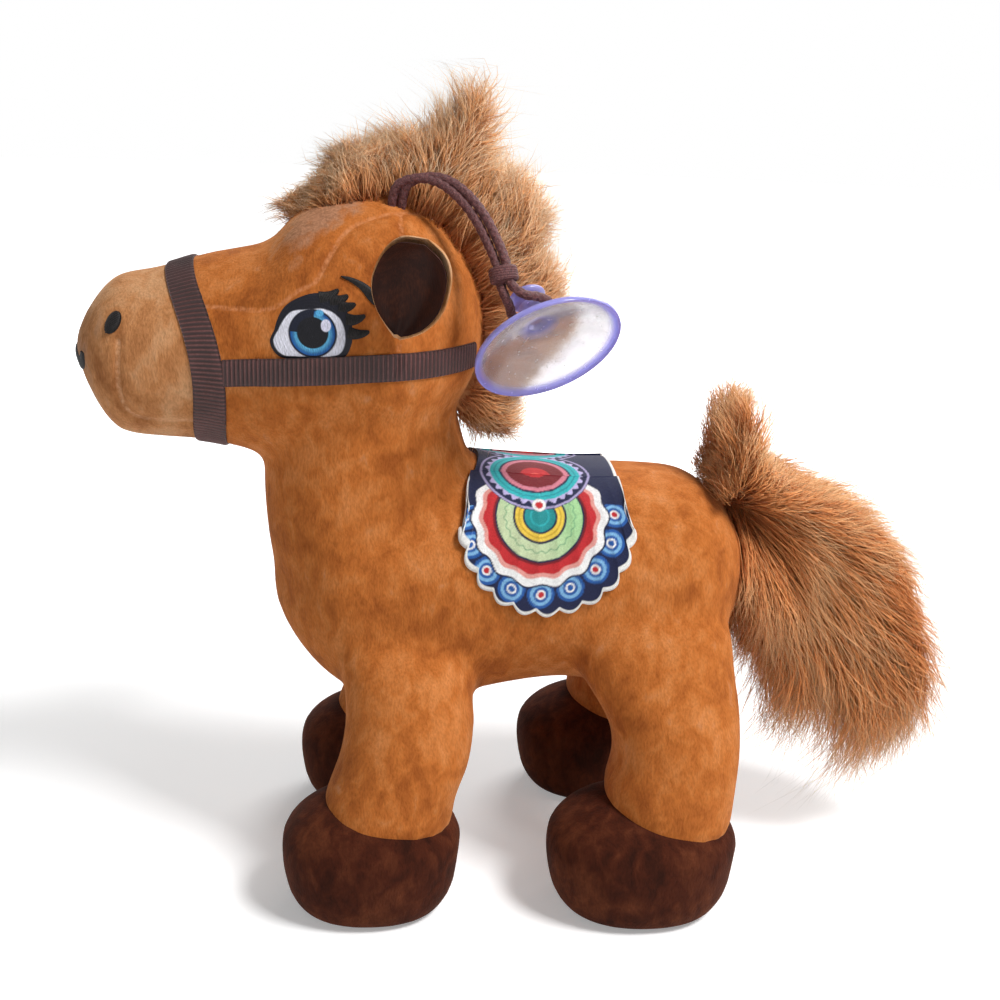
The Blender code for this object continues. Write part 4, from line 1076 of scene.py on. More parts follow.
@dataclass
class Halter:
    """Ribbed ribbon: a noseband round the muzzle seam and a cheek strap on each side, in millimetres.

    Where the strap passes over the eye and under the band, its place, reach and rise are given.
    """

    thickness: float = 0.75
    band_width: float = 6.3
    band_place: tuple[float, float] = (-76.2, 121.8)
    band_lean: float = radians(8.5)
    band_bow: float = 4.1
    band_bow_reach: float = 26.0
    first_place: float = 0.3
    laying_gap: float = 1.5
    evened: int = 20
    sunk: float = 0.15
    strap_width: float = 5.7
    rib: float = 0.95
    rib_depth: float = 0.28
    strap_start: tuple[float, float] = (-75.4, 118.6)
    strap_end: tuple[float, float] = (-16.5, 122.6)
    strap_sag: float = -0.5
    strap_from: float = 0.098
    over_eye: Triple = (-51.0, 9.5, 0.5)
    under_band: Triple = (-70.0, 1.4, -0.5)
    strap_sunk: float = 0.1

    def heights(self, run: Array, across: Array) -> Array:
        """Thickness of the ribbon: a rib is a raised cosine along it, and its edges are bound thin.

        Args:
            run: places along the ribbon, in millimetres.
            across: places across it, -1 to 1.

        Returns:
            The thickness in metres.
        """
        ribs = 0.5 + 0.5 * np.cos(tau * run / self.rib)
        edge = 1 - smooth_step(0.86, 1.0, np.abs(across))
        woven = 1 - self.rib_depth / self.thickness * (1 - ribs) * edge
        return self.thickness * MM * woven * (0.55 + 0.45 * np.sqrt(np.clip(1 - across**12, 0, 1)))

    def noseband(self, covers: Covers) -> Piece:
        """The noseband: places on the leaning plane, found ring by ring, then laid on the cover.

        Args:
            covers: the covers that it lies on.

        Returns:
            The piece.
        """
        columns = 1000
        across = np.linspace(-1, 1, 17)[:, None]
        turn = turns(columns) + 0 * across
        x, z = self.band_place
        head = covers.head
        points = head.skin(np.full_like(turn, self.first_place), turn, self.laying_gap)
        for _ in range(8):
            rise = points[..., 2] / MM - z
            want = x + across * self.band_width / 2 - rise * tan(self.band_lean)
            want = want + self.band_bow * np.clip(1 - (rise / self.band_bow_reach) ** 2, 0, 1) ** 2
            points = head.skin((want - head.start) / head.length, turn, self.laying_gap)
        off = laid(points, covers.whole, Onto.NEAREST) - points
        near = range(-self.evened, self.evened + 1)
        grid = points + np.mean([np.roll(off, k, axis=1) for k in near], axis=0)
        middle = grid[len(grid) // 2]
        middle = np.vstack([middle, middle[:1]])
        run = run_along(middle)[:-1] / MM
        whole = run[-1] / max(1, round(run[-1] / self.rib))
        normals = self.outward(grid, covers, True)
        uv = np.stack(np.broadcast_arrays(run[None, :], across * self.band_width / 2), -1)
        height = self.heights(run[None, :] * self.rib / whole, across)
        under = grid - normals * self.sunk * MM
        return thick_sheet("noseband_ribbon", under, normals, height, True, uv=uv)

    def outward(self, grid: Array, covers: Covers, wraps: bool) -> Array:
        """Smoothed normals of a grid on the cover, pointing away from the head's middle line.

        Args:
            grid: the grid.
            covers: the covers that it lies on.
            wraps: whether its columns close on themselves.

        Returns:
            The unit normals.
        """
        if wraps:
            around = np.roll(grid, -1, axis=1) - np.roll(grid, 1, axis=1)
            normals = unit(np.cross(np.gradient(grid, axis=0), around))
        else:
            normals = grid_normals(grid)
        middle = grid.mean(axis=(0, 1)) if wraps else grid.mean(axis=(0, 1)) * (1, 0, 1)
        inward = ((grid - middle) * normals).sum(axis=-1).mean() < 0
        normals = -normals if inward else normals
        smooth = normals.copy()
        for shift in range(1, 9):
            smooth[:, shift:] += normals[:, :-shift]
            smooth[:, :-shift] += normals[:, shift:]
        return unit(smooth)

    def strap(self, covers: Covers, side: Side) -> Piece:
        """A cheek strap: a strip seen from the side that sags a little, laid on the cover.

        Args:
            covers: the covers that it lies on.
            side: the side of the horse.

        Returns:
            The piece.
        """
        columns = 900
        along = np.linspace(self.strap_from, 1, columns)[None, :]
        across = np.linspace(-1, 1, 15)[:, None]
        (x0, z0), (x1, z1) = self.strap_start, self.strap_end
        x = x0 + (x1 - x0) * along
        z = z0 + (z1 - z0) * along - self.strap_sag * np.sin(pi * along)
        z = z + across * self.strap_width / 2
        grid = laid_view(x, z, covers.whole, side)
        normals = self.outward(grid, covers, False)
        run = run_along(grid[len(grid) // 2]) / MM
        uv = np.stack(np.broadcast_arrays(run[None, :], across * self.strap_width / 2), -1)
        over, below = (
            rise * np.exp(-(((x - middle) / reach) ** 4))[..., None]
            for middle, reach, rise in (self.over_eye, self.under_band)
        )
        base = grid + normals * (over - self.strap_sunk + below) * MM
        height = self.heights(run[None, :], across)
        return thick_sheet(f"cheek_ribbon_{side.hand}", base, normals, height, uv=uv)

    def dye(self) -> Dye:
        """Brown grosgrain: threads along the ribs, with a painted highlight on each rib and painted shade
        between the ribs.

        Returns:
            The material.
        """
        made = Dye("brown_grosgrain", Roughness=0.48, Sheen_Weight=0.08, Sheen_Roughness=0.3)
        made.give(Specular_IOR_Level=0.45)
        run = made.node("SeparateXYZ", {0: made.node("UVMap", uv_map="cloth")})
        # Painted highlight on the tops of the ribs and painted shade between them, as a cosine along the
        # ribbon.
        rib = made.maths("COSINE", made.maths("MULTIPLY", run.outputs[0], tau / self.rib))
        high = made.maths("MULTIPLY_ADD", rib, 0.5, made.maths("MULTIPLY", made.noise(0.5 * MM), 0.5))
        dark, middle, light = (0.028, 0.008, 0.007), (0.066, 0.018, 0.015), (0.115, 0.045, 0.040)
        colour = made.ramp(high, (0.1, dark), (0.5, middle), (0.85, light))
        worn = made.ramp(made.noise(7 * MM, 3), (0.4, (0.82, 0.8, 0.8)), (0.65, (1.3, 1.35, 1.4)))
        made.give(Base_Color=made.mix(1.0, colour, worn, "MULTIPLY"))
        made.bump(made.noise(0.22 * MM, 2), 0.08 * MM, 0.6)
        return made

    def build(self, covers: Covers) -> list[Piece]:
        """Lay the ribbons on the cover and dress them.

        Args:
            covers: the covers that it lies on.

        Returns:
            The pieces.
        """
        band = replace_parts(self.noseband(covers), "noseband")
        straps = [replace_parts(self.strap(covers, side), f"cheek_strap_{side.hand}") for side in Side]
        self.dye().dress(band, *straps)
        place_on("horse", "ribbon", band, *straps)
        return [band, *straps]


# ---- Embroidered face


@dataclass
class Face:
    """Embroidery: round eyes with lashes and a brow, nostrils and a small mouth.

    The eye is drawn in steps of 0.2137 mm from the middle of its iris. Its outline and the width
    of its dark rim are given by the angle in degrees.
    """

    eye_place: tuple[float, float] = (-50.3, 128.5)
    step: float = 0.2137
    eye_rings: int = 66
    eye_spokes: int = 250
    relief: float = 0.55
    eye_sunk: float = 0.2
    thread_sunk: float = 0.15
    satin: float = 0.6
    nostril_relief: float = 0.7
    stitch: float = 0.32
    outline: Rows = (
        (0, 37.5), (31, 38.6), (60, 40), (84, 38), (111, 35.5), (134, 35.7), (176, 36.6),
        (194, 42.2), (215, 40), (235, 31), (270, 25.5), (305, 31), (325, 37), (343, 37.6), (360, 37.5),
    )
    rim: Rows = (
        (0, 7), (30, 9), (60, 14), (90, 15), (112, 12), (135, 8), (180, 4), (230, 4), (300, 5),
        (340, 6), (360, 7),
    )
    lashes: Rows = (
        (6, 33, 24, 41.5), (24, 26, 40, 29), (31, 14, 49, 18.5), (33, 2, 53, 3.5), (16, 31, 33, 36.5),
    )
    brow: Rows = (
        (26, 53.5, 2.5), (36, 50.5, 4.5), (47, 44.6, 7.5), (55, 36.5, 9.5), (60, 28, 7.5),
    )
    nostril_place: tuple[float, float] = (-91.2, 128.6)
    nostril_size: tuple[float, float] = (4.9, 2.9)
    nostril_slant: float = radians(62)
    mouth: Rows = (
        (-9.4, 121.6, 1.2), (-8.8, 119.8, 2.4), (-7.4, 118.9, 2.6), (-5.0, 119.7, 1.9),
        (-2.5, 121.1, 1.6), (0.0, 121.7, 1.2), (2.5, 121.1, 1.6), (5.0, 119.7, 1.9),
        (7.4, 118.9, 2.6), (8.8, 119.8, 2.4), (9.4, 121.6, 1.2),
    )

    def eye_colours(self, x: Array, y: Array) -> Array:
        """Colours of the embroidered eye, painted over one another in numpy from the middle out.

        White first, then an outline that is thicker above, a dark ring round the iris, a blue iris
        that lightens inwards, a black pupil, a dark part above it and two highlights.

        Args:
            x: places across the drawing, in steps.
            y: places up the drawing, in steps.

        Returns:
            Colours with four channels.
        """
        r, angle = np.hypot(x, y), np.degrees(np.arctan2(y, x)) % 360
        edge = smooth_rows(self.outline, angle)[..., 0]
        rim = np.interp(angle, *np.array(self.rim).T)
        colour = np.ones(x.shape + (4,))
        colour[..., :3] = (0.80, 0.80, 0.90)

        def paint(mask: Array, rgb: Any) -> None:
            """Lay a colour over the others where the mask is 1."""
            colour[..., :3] += (np.asarray(rgb) - colour[..., :3]) * np.clip(mask, 0, 1)[..., None]

        shade = smooth_step(26, 34, r) * (x > 0)
        paint(shade * 0.35, (0.45, 0.45, 0.62))
        paint(1 - smooth_step(22.4, 23.4, r), (0.006, 0.008, 0.02))
        inner = smooth_step(14.0, 21.0, r)[..., None]
        blue = np.array((0.13, 0.47, 0.74)) * (1 - inner) + np.array((0.012, 0.09, 0.33)) * inner
        thread = 1 + 0.10 * np.sin(angle * 1.9 + 3 * np.sin(r))
        paint(1 - smooth_step(20.6, 21.4, r), blue * thread[..., None])
        dark = (angle > 86) & (angle < 176) & (r < 22)
        paint(dark.astype(float), (0.007, 0.009, 0.022))
        paint(1 - smooth_step(14.4, 15.4, np.hypot(x, y - 0.8)), (0.004, 0.004, 0.007))
        paint(1 - smooth_step(1.9, 2.9, np.hypot((x - 6.5) / 1.6, (y - 19.5) / 1.3)), (0.10, 0.42, 0.72))
        light = np.hypot((x - 12.5) / 4.7, (y - 8.0) / 5.8)
        paint(1 - smooth_step(0.92, 1.1, light), (0.78, 0.76, 0.92))
        paint(smooth_step(edge - rim - 0.6, edge - rim + 0.6, r), (0.006, 0.006, 0.012))
        return colour

    def eye(self, covers: Covers, side: Side) -> Piece:
        """The eye's patch: rings from its middle to its outline, laid on the head from the side.

        Args:
            covers: the covers that it lies on.
            side: the side of the horse.

        Returns:
            The piece.
        """
        share = np.linspace(0, 1, self.eye_rings)[:, None] ** 0.8
        angle = turns(self.eye_spokes)[None, :]
        edge = smooth_rows(self.outline, np.degrees(angle))[..., 0]
        x, y = share * edge * np.cos(angle), share * edge * np.sin(angle)
        x_mm, z_mm = (self.eye_place[k] + v * self.step for k, v in enumerate((x, y)))
        grid = laid_view(x_mm, z_mm, covers.whole, side)
        normals = self.away(grid, side)
        ridges = 0.05 * np.sin(x * 2.9 + y * 1.3) + 0.05 * np.sin(np.hypot(x, y) * 2.2)
        dome = np.sqrt(np.clip(1 - share**10, 0, 1))
        height = self.relief * MM * (0.25 + 0.75 * dome) * (1 + ridges)
        dye = self.eye_colours(x, y)
        under = grid - normals * self.eye_sunk * MM
        piece = thick_sheet(f"eye_embroidery_{side.hand}", under, normals, height, True, dye)
        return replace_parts(piece, f"eye_{side.hand}")

    def away(self, grid: Array, side: Side) -> Array:
        """One way out for a small patch: the mean of its normals, so that it stays even."""
        normals = grid_normals(grid)
        middle = unit(normals[np.linalg.norm(normals, axis=-1) > 0.5].mean(axis=0))
        return middle * (1 if middle[1] * side.value > 0 else -1)

    def stroke(
        self, name: str, line: Array, widths: Array, cover: Piece, side: Side | None, out: Array | None
    ) -> Piece:
        """A satin-stitched stroke: a strip along a line, rounded across and pointed at its ends.

        Args:
            name: the piece's name.
            line: its middle line in the flat drawing, in millimetres.
            widths: its width along it.
            cover: the cover that it is laid on.
            side: the side that the drawing is seen from, or None for the front.
            out: the way up, or None for the strip's own normals.

        Returns:
            The piece.
        """
        ahead = unit(np.gradient(line, axis=0))
        aside = np.stack([-ahead[:, 1], ahead[:, 0]], 1)
        across = np.linspace(-1, 1, 13)[None, :, None]
        flat = line[:, None] + aside[:, None] * across * widths[:, None, None] / 2
        grid = laid_view(flat[..., 0], flat[..., 1], cover, side)
        normals = unit(grid_normals(grid).mean(axis=(0, 1))) if out is None else out
        if out is None and normals[0] > 0:
            normals = -normals
        run = run_along(line)[:, None]
        stitches = 1 + 0.12 * np.sin(tau * run / self.stitch + 1.5 * across[..., 0])
        relief = self.nostril_relief if name.startswith("nostril") else self.satin
        height = relief * MM * (0.3 + 0.7 * np.sqrt(1 - np.abs(across[..., 0]) ** 2.5)) * stitches
        return thick_sheet(name, grid - normals * self.thread_sunk * MM, normals, height)

    def strokes(self, covers: Covers, side: Side) -> list[Piece]:
        """Lashes, brow and nostril of one side.

        Args:
            covers: the covers that it lies on.
            side: the side of the horse.

        Returns:
            The pieces.
        """
        made, cover = [], covers.whole
        t = np.linspace(0, 1, 60)
        place = np.array(self.eye_place)
        out = np.array((0.0, float(side.value), 0.25))
        out /= np.linalg.norm(out)
        for number, (x0, y0, x1, y1) in enumerate(self.lashes):
            bow = np.array((-(y1 - y0), x1 - x0)) * 0.10
            line = place + self.step * (
                np.array((x0, y0)) + np.outer(t, (x1 - x0, y1 - y0)) - np.outer(np.sin(pi * t), bow)
            )
            widths = self.step * (10.5 * (1 - t) ** 0.6 + 2.0)
            made.append(self.stroke(f"lash_{side.hand}_{number + 1}", line, widths, cover, side, out))
        line = even_rows(self.brow, t)
        widths = self.step * line[:, 2] * np.sqrt(np.clip(1 - (2 * t - 1) ** 6, 0.02, 1))
        line = place + self.step * line[:, :2]
        made.append(self.stroke(f"brow_{side.hand}", line, widths, cover, side, out))
        length, width = self.nostril_size
        ahead = np.array((cos(self.nostril_slant), sin(self.nostril_slant)))
        line = np.array(self.nostril_place) + np.outer((t - 0.5) * length, ahead)
        widths = width * np.sqrt(np.clip(1 - (2 * t - 1) ** 2, 0.004, 1))
        out = np.array((-0.62, 0.78 * side.value, 0.1))
        nostril = self.stroke(f"nostril_stitch_{side.hand}", line, widths, cover, side, out)
        made.append(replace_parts(nostril, f"nostril_{side.hand}"))
        return made

    def mouth_stroke(self, covers: Covers) -> Piece:
        """The mouth: one bowed stroke seen from the front."""
        line = even_rows(self.mouth, np.linspace(0, 1, 140))
        piece = self.stroke("mouth_thread", line[:, :2], line[:, 2], covers.whole, None, None)
        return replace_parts(piece, "mouth_stitch")

    def eye_dye(self) -> Dye:
        """Embroidery thread in the colours of the drawing, with fine slanting stitches.

        Returns:
            The material.
        """
        made = Dye("eye_thread", Roughness=0.42, Specular_IOR_Level=0.2)
        stitch = made.noise(0.16 * MM, 2, made.place((1, 1, 0.16), 0.35))
        lines = made.ramp(stitch, (0.35, 0.72), (0.62, 1.12))
        made.give(Base_Color=made.mix(0.85, made.drawn(), lines, "MULTIPLY"))
        made.bump(stitch, 0.12 * MM, 0.8)
        return made

    def thread_dye(self) -> Dye:
        """Black satin stitch with a silky shine.

        Returns:
            The material.
        """
        made = Dye("black_thread", Roughness=0.5, Specular_IOR_Level=0.2)
        stitch = made.noise(0.18 * MM, 2, made.place((1, 1, 0.2), 0.6))
        made.give(Base_Color=made.ramp(stitch, (0.35, 0.002), (0.7, (0.022, 0.018, 0.018))))
        made.bump(stitch, 0.12 * MM, 0.8)
        return made

    def build(self, covers: Covers) -> list[Piece]:
        """Stitch the face and dress it.

        Args:
            covers: the covers that it lies on.

        Returns:
            The pieces.
        """
        eyes = [self.eye(covers, side) for side in Side]
        marks = [piece for side in Side for piece in self.strokes(covers, side)]
        marks.append(self.mouth_stroke(covers))
        self.eye_dye().dress(*eyes)
        self.thread_dye().dress(*marks)
        place_on("horse", "eye_thread", *eyes)
        place_on("horse", "black_thread", *marks)
        return [*eyes, *marks]


# ---- Ears


@dataclass
class Ear:
    """A cupped plush ear with a dark lining, sewn down at its pinched base, in millimetres."""

    side: Side
    base: Triple = (-33.0, 25.71, 128.5)
    rise: Triple = (0.299506, 0.219638, 0.928469)
    face: Triple = (-0.353457, 0.929443, -0.10585)
    length: float = 22.5
    width: float = 15.8
    cup: float = 5.2
    curl: float = 0.33
    tip_curl: float = 0.6
    thickness: float = 2.4
    lining_margin: float = 0.08
    outline: Rows = (
        (0.0, 0.10), (0.08, 0.36), (0.2, 0.66), (0.34, 0.88), (0.48, 0.99), (0.60, 1.0),
        (0.72, 0.96), (0.83, 0.86), (0.92, 0.69), (0.975, 0.46), (1.0, 0.02),
    )
    plush: PlushFinish = PlushFinish(
        "ear_plush", (0.42, 0.16, 0.05), (0.60, 0.28, 0.11), (0.80, 0.50, 0.29), 0.5
    )

    def places(self, rows: int, columns: int) -> tuple[Array, Array]:
        """Places along the ear, 0 to 1, and across it, -1 to 1, that are close at its edges."""
        along = (1 - np.cos(np.linspace(0, pi, rows)))[:, None] / 2
        return along, np.sin(np.linspace(-pi / 2, pi / 2, columns))[None, :]

    def leaf(
        self, low: float, along: Array, u: Array, margin: float = 0.0, lift: Array | float = 0.0
    ) -> Array:
        """A cupped leaf: its half width follows the outline, and it bows with the square across.

        Args:
            low: how far it stands before the middle of the ear.
            along: places along it.
            u: places across it.
            margin: the share of the length and width that it leaves free at its edge.
            lift: a relief added to the bow.

        Returns:
            The grid in metres.
        """
        mirror = np.array((1.0, float(self.side.value), 1.0))
        base, rise, face = (np.array(v) * mirror for v in (self.base, self.rise, self.face))
        across = np.cross(rise, face)
        opened = smooth_rows(self.outline, along)[..., 0]
        half = self.width / 2 * opened * (1 - margin)
        bow = self.cup * (u**2 * opened + self.curl * along**2 + self.tip_curl * along**10) + low + lift
        grid = base + rise * (self.length * (margin / 2 + (1 - margin) * along))[..., None]
        return (grid + across * (half * u)[..., None] + face * bow[..., None]) * MM

    def back(self) -> Piece:
        """The plush leaf, thick in the middle and rolled thin at its edge.

        Returns:
            The piece.
        """
        along, u = self.places(70, 50)
        full = np.sqrt(np.clip(1 - np.abs(u) ** 8, 0, 1)) * np.sqrt(np.clip(1 - along**16, 0, 1))
        grid, front = (self.leaf(way * self.thickness / 2, along, u) for way in (-1, 1))
        middle, reach = (grid + front) / 2, (front - grid) / 2
        full = np.maximum(full, 0.12)[..., None]
        return self.between("ear_leaf", middle - reach * full, middle + reach * full, "ear")

    def between(self, name: str, under: Array, over: Array, solid: str) -> Piece:
        """A closed sheet between two grids, which stands for one of the ear's solids."""
        height = np.linalg.norm(over - under, axis=-1)
        piece = thick_sheet(f"{name}_{self.side.hand}", under, unit(over - under), height)
        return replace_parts(piece, f"{solid}_{self.side.hand}")

    def lining(self) -> Piece:
        """The lining: a thinner leaf in the cup, with soft folds that fan out from the base.

        Returns:
            The piece.
        """
        along, u = self.places(70, 60)
        fold = 0.16 * np.sin(9.0 * u + 2.2 * along) * (1 - along) * smooth_step(0, 0.2, along)
        fold = fold + 0.10 * np.sin(5 * u - 7 * along)
        grid, over = (
            self.leaf(self.thickness / 2 + low, along, u, self.lining_margin, fold) for low in (-0.1, 0.4)
        )
        return self.between("ear_lining_cloth", grid, over, "ear_lining")

    def lining_dye(self) -> Dye:
        """Dark brown satin with a slanting glow.

        Returns:
            The material.
        """
        made = Dye("ear_satin", Roughness=0.55, Specular_IOR_Level=0.15)
        cloud = made.noise(6 * MM, 2, warp=0.8)
        grain = made.noise(0.3 * MM, 2, made.place((1, 1, 0.2), 0.3))
        both = made.maths("MULTIPLY_ADD", grain, 0.4, made.maths("MULTIPLY", cloud, 0.6))
        dark, middle, light = (0.012, 0.003, 0.002), (0.030, 0.007, 0.003), (0.085, 0.021, 0.008)
        made.give(Base_Color=made.ramp(both, (0.3, dark), (0.5, middle), (0.75, light)))
        made.bump(grain, 0.15 * MM, 0.5)
        return made

    def build(self) -> list[Piece]:
        """Make the ear's two pieces and dress them.

        Returns:
            The pieces.
        """
        back, lining = self.back(), self.lining()
        self.plush.dye().dress(back)
        self.lining_dye().dress(lining)
        place_on(f"ear_{self.side.hand}", "plush", back)
        place_on(f"ear_{self.side.hand}", "ear_lining", lining)
        return [back, lining]


# ---- Long fur


@dataclass(frozen=True)
class Fan:
    """Fur that fans out from a middle point of the horse's middle plane, in millimetres.

    Its rows hold an angle in degrees and how far the fur reaches there; its depths hold a share of
    that reach and the half thickness of the fur.
    """

    middle: tuple[float, float]
    rows: Rows
    depths: Rows
    inner: tuple[float, float]
    droop: float
    lowest: float = 4.5
    highest: float = 184.5

    def spot(self, angle: Array, reach: Array, aside: Array) -> Array:
        """A point at an angle and a distance from the middle, moved sideways."""
        x, z = self.middle
        turn = np.radians(angle)
        return np.stack([x + reach * np.cos(turn), aside, z + reach * np.sin(turn)], -1)

    def start(self, angle: Array) -> Array:
        """How far from the middle the fur starts: the radius of an ellipse."""
        turn = np.radians(angle)
        return 1 / np.sqrt((np.cos(turn) / self.inner[0]) ** 2 + (np.sin(turn) / self.inner[1]) ** 2)

    def fibres(
        self, chance: np.random.Generator, low: float, high: float, count: int
    ) -> tuple[Array, Array, Array]:
        """Roots, heads and bends of fibres between two angles, in metres.

        A fibre starts at a random share of the reach and side, runs outwards for about half of the
        reach, sinks by the droop and strays with a smooth noise, so that neighbours stray alike. It
        is the parabola through its two ends and its middle.

        Args:
            chance: the seeded source of random numbers.
            low: the lower angle, in degrees.
            high: the higher angle.
            count: how many fibres.

        Returns:
            The roots, the heads and the bends.
        """
        angle = chance.uniform(low, high, count * 3)
        far, near = np.interp(angle, *np.array(self.rows).T), self.start(angle)
        ends = np.array(self.rows)[[0, -1], 0]
        narrow = 0.2 + 0.8 * smooth_step(0, 18, np.minimum(angle - ends[0], ends[1] - angle))
        wide = np.clip(far**2 - near**2, 1, None) * narrow
        kept = chance.choice(count * 3, count, replace=False, p=wide / wide.sum())
        angle, far, near, narrow = angle[kept], far[kept], near[kept], narrow[kept]
        share = 0.76 * chance.uniform(0, 1, count) ** 1.1
        aside = np.clip(chance.normal(0, 0.6, count), -1, 1)
        first = near + (far - near) * share
        spots = self.spot(angle, first, 24 * aside)
        stray = value_noise(spots, 5.5, 41) + 0.6 * value_noise(spots, 2.2, 44)
        sway = value_noise(spots, 5.0, 42)
        tuft = value_noise(spots, 3.4, 43)
        wisp = chance.uniform(0, 1, count) < 0.025
        limit = far * (0.96 + 0.11 * tuft + chance.normal(0, 0.035, count) + 0.14 * wisp)
        last = np.minimum(first + (far - near) * (0.34 + 0.16 * tuft) + 4, np.maximum(limit, first + 3))
        wild = 12 + 26 * np.exp(-first / 11)
        middle = chance.normal(0, 1.1, (count, 1, 3)) * np.exp(-first / 14)[:, None, None]
        ends = []
        for step in (0.0, 0.5, 1.0):
            at = first + (last - first) * step
            depth = np.interp(np.clip(at / far, 0, 1), *np.array(self.depths).T) * narrow
            turn = angle + (wild * stray + chance.normal(0, 5.0, count) * step) * step
            turn = turn - self.droop * step * np.cos(np.radians(angle)) * (at / 50)
            y = aside * depth * (1 + 0.15 * step) + 2.4 * sway * step
            spot = self.spot(turn, at, y) + middle[:, 0]
            spot[:, 2] = np.clip(spot[:, 2], self.lowest + 2 * share, self.highest - 2 * share)
            ends.append(spot * MM)
        return ends[0], 4 * ends[1] - 3 * ends[0] - ends[2], 2 * (ends[2] + ends[0] - 2 * ends[1])


@dataclass
class Hair:
    """Long fur of the mane, the forelock and the tail: soft cores and fibres that fan out of them.

    Sizes are in millimetres. A row of the mane is its angle round the head, its lean, its reach and
    its thickness; a row of the tail is the place of its upper and lower edge and its thickness.
    """

    crown: tuple[float, float] = (-38.0, 126.5)
    crown_size: tuple[float, float] = (25.6, 29.5)
    reach: float = 29.0
    thickness: float = 17.0
    root: float = 0.80
    parting: float = 0.25
    parting_gap: float = 0.006
    parting_angle: float = 99.0
    mane_rows: Rows = (
        (126.0, 160.0, 0.16, 0.34), (120.0, 150.0, 0.46, 0.62), (112.0, 125.0, 0.46, 0.82),
        (103.0, 104.0, 0.48, 0.92), (92.0, 94.0, 0.55, 1.00), (80.0, 88.0, 0.66, 1.00),
        (66.0, 79.0, 0.85, 1.00), (52.0, 72.0, 0.92, 1.00), (38.0, 57.0, 0.74, 1.00),
        (22.0, 44.0, 0.70, 1.00), (6.0, 28.0, 0.66, 0.98), (-11.0, 6.0, 0.57, 0.94),
        (-27.0, -18.0, 0.46, 0.84), (-40.0, -30.0, 0.28, 0.60),
    )
    tail_root: Triple = (44.0, 0.0, 89.5)
    root_radius: float = 5.0
    tail_reach: float = 59.15
    tail_drop: float = 74.0
    tail_thickness: float = 32.0
    tail_rows: Rows = (
        (0.00, 0.30, 0.00, 0.05, 0.30), (0.12, 0.21, 0.06, -0.06, 0.50), (0.28, 0.07, 0.13, -0.22, 0.70),
        (0.46, 0.04, 0.15, -0.40, 0.86), (0.64, -0.05, 0.17, -0.58, 0.96), (0.79, -0.17, 0.24, -0.74, 1.00),
        (0.90, -0.36, 0.37, -0.86, 0.94), (0.97, -0.57, 0.52, -0.92, 0.80), (1.00, -0.76, 0.66, -0.97, 0.60),
        (0.94, -0.90, 0.80, -1.01, 0.30),
    )
    mane_fan: Fan = Fan(
        (-38.0, 126.5),
        (
            (-48, 33), (-38, 42), (-33, 40), (-28, 36), (-15, 38), (0, 42), (11, 45), (18, 44), (26, 43),
            (33, 48), (43, 48), (51, 47), (56, 47), (59.5, 50), (62.5, 57), (65.5, 61), (67.5, 54),
            (71, 48), (75, 44), (80, 45.5), (84, 42), (92, 41), (99, 40), (104, 36.5), (109, 34.5), (114, 32),
            (119, 32.5), (122, 33.5), (126, 34),
        ),
        ((0.0, 9.0), (0.7, 9.0), (0.85, 7.5), (1.0, 2.5)),
        (23.5, 27.0),
        -5.0,
    )
    tail_fan: Fan = Fan(
        (44.0, 89.5),
        (
            (-93, 12), (-86, 17), (-81, 33), (-77, 43), (-73, 44), (-70, 52), (-67.5, 68), (-65, 71),
            (-62.5, 59), (-60, 53), (-58, 66), (-55.5, 80), (-53, 86), (-48, 86), (-43, 85), (-39.5, 83),
            (-36, 79), (-33, 74), (-29, 67), (-24, 61), (-18, 55), (-14, 49), (-8, 40), (-2, 32),
            (5, 25), (14, 18), (25, 14.5), (45, 13), (60, 13.5), (70, 16), (78, 20), (84, 27), (88, 27),
            (93, 19), (101, 11), (125, 8), (165, 5.5),
        ),
        ((0.0, 6.0), (0.12, 8.0), (0.35, 14.0), (0.6, 15.5), (0.85, 11.0), (1.0, 3.0)),
        (2.0, 2.0),
        9.0,
    )
    most_fibres: int = 12000
    core_sides: int = 60
    mane_fibres: Fibres = Fibres(0.19 * MM, 3, 0.09, 1.4, 0.30, 1500)
    tail_fibres: Fibres = Fibres(0.22 * MM, 3, 0.08, 1.4, 0.32, 1500)
    mane_finish: FurFinish = FurFinish(
        "mane_fur", (0.66, 0.24, 0.075), (0.92, 0.46, 0.185), (0.98, 0.80, 0.55)
    )
    tail_finish: FurFinish = FurFinish(
        "tail_fur", (0.58, 0.18, 0.048), (0.90, 0.37, 0.118), (0.97, 0.66, 0.36)
    )

    def mane_edges(self, place: Array) -> tuple[Array, Array, Array]:
        """Root, tip and half thickness of the mane at places along it, in millimetres.

        Args:
            place: places along it, 0 to 1.

        Returns:
            The two edges' points and the half thickness.
        """
        row = even_rows(self.mane_rows, place)
        angle, lean = np.radians(row[..., 0]), np.radians(row[..., 1])
        zero = np.zeros_like(angle)
        spoke = np.stack([self.crown_size[0] * np.cos(angle), zero, self.crown_size[1] * np.sin(angle)], -1)
        centre = np.array((self.crown[0], 0.0, self.crown[1]))
        lock = np.stack([np.cos(lean), zero, np.sin(lean)], -1) * self.reach * row[..., 2:3]
        return centre + spoke * self.root, centre + spoke + lock, self.thickness / 2 * row[..., 3]

    def tail_edges(self, place: Array) -> tuple[Array, Array, Array]:
        """Lower edge, upper edge and half thickness of the tail at places along it, in millimetres.

        Args:
            place: places along it, 0 to 1.

        Returns:
            The two edges' points and the half thickness.
        """
        row = even_rows(self.tail_rows, place)
        root, zero = np.array(self.tail_root), np.zeros_like(place)
        upper = np.stack([self.tail_reach * row[..., 0], zero, self.tail_drop * row[..., 1]], -1)
        lower = np.stack([self.tail_reach * row[..., 2], zero, self.tail_drop * row[..., 3]], -1)
        return root + lower, root + upper, self.tail_thickness / 2 * row[..., 4]

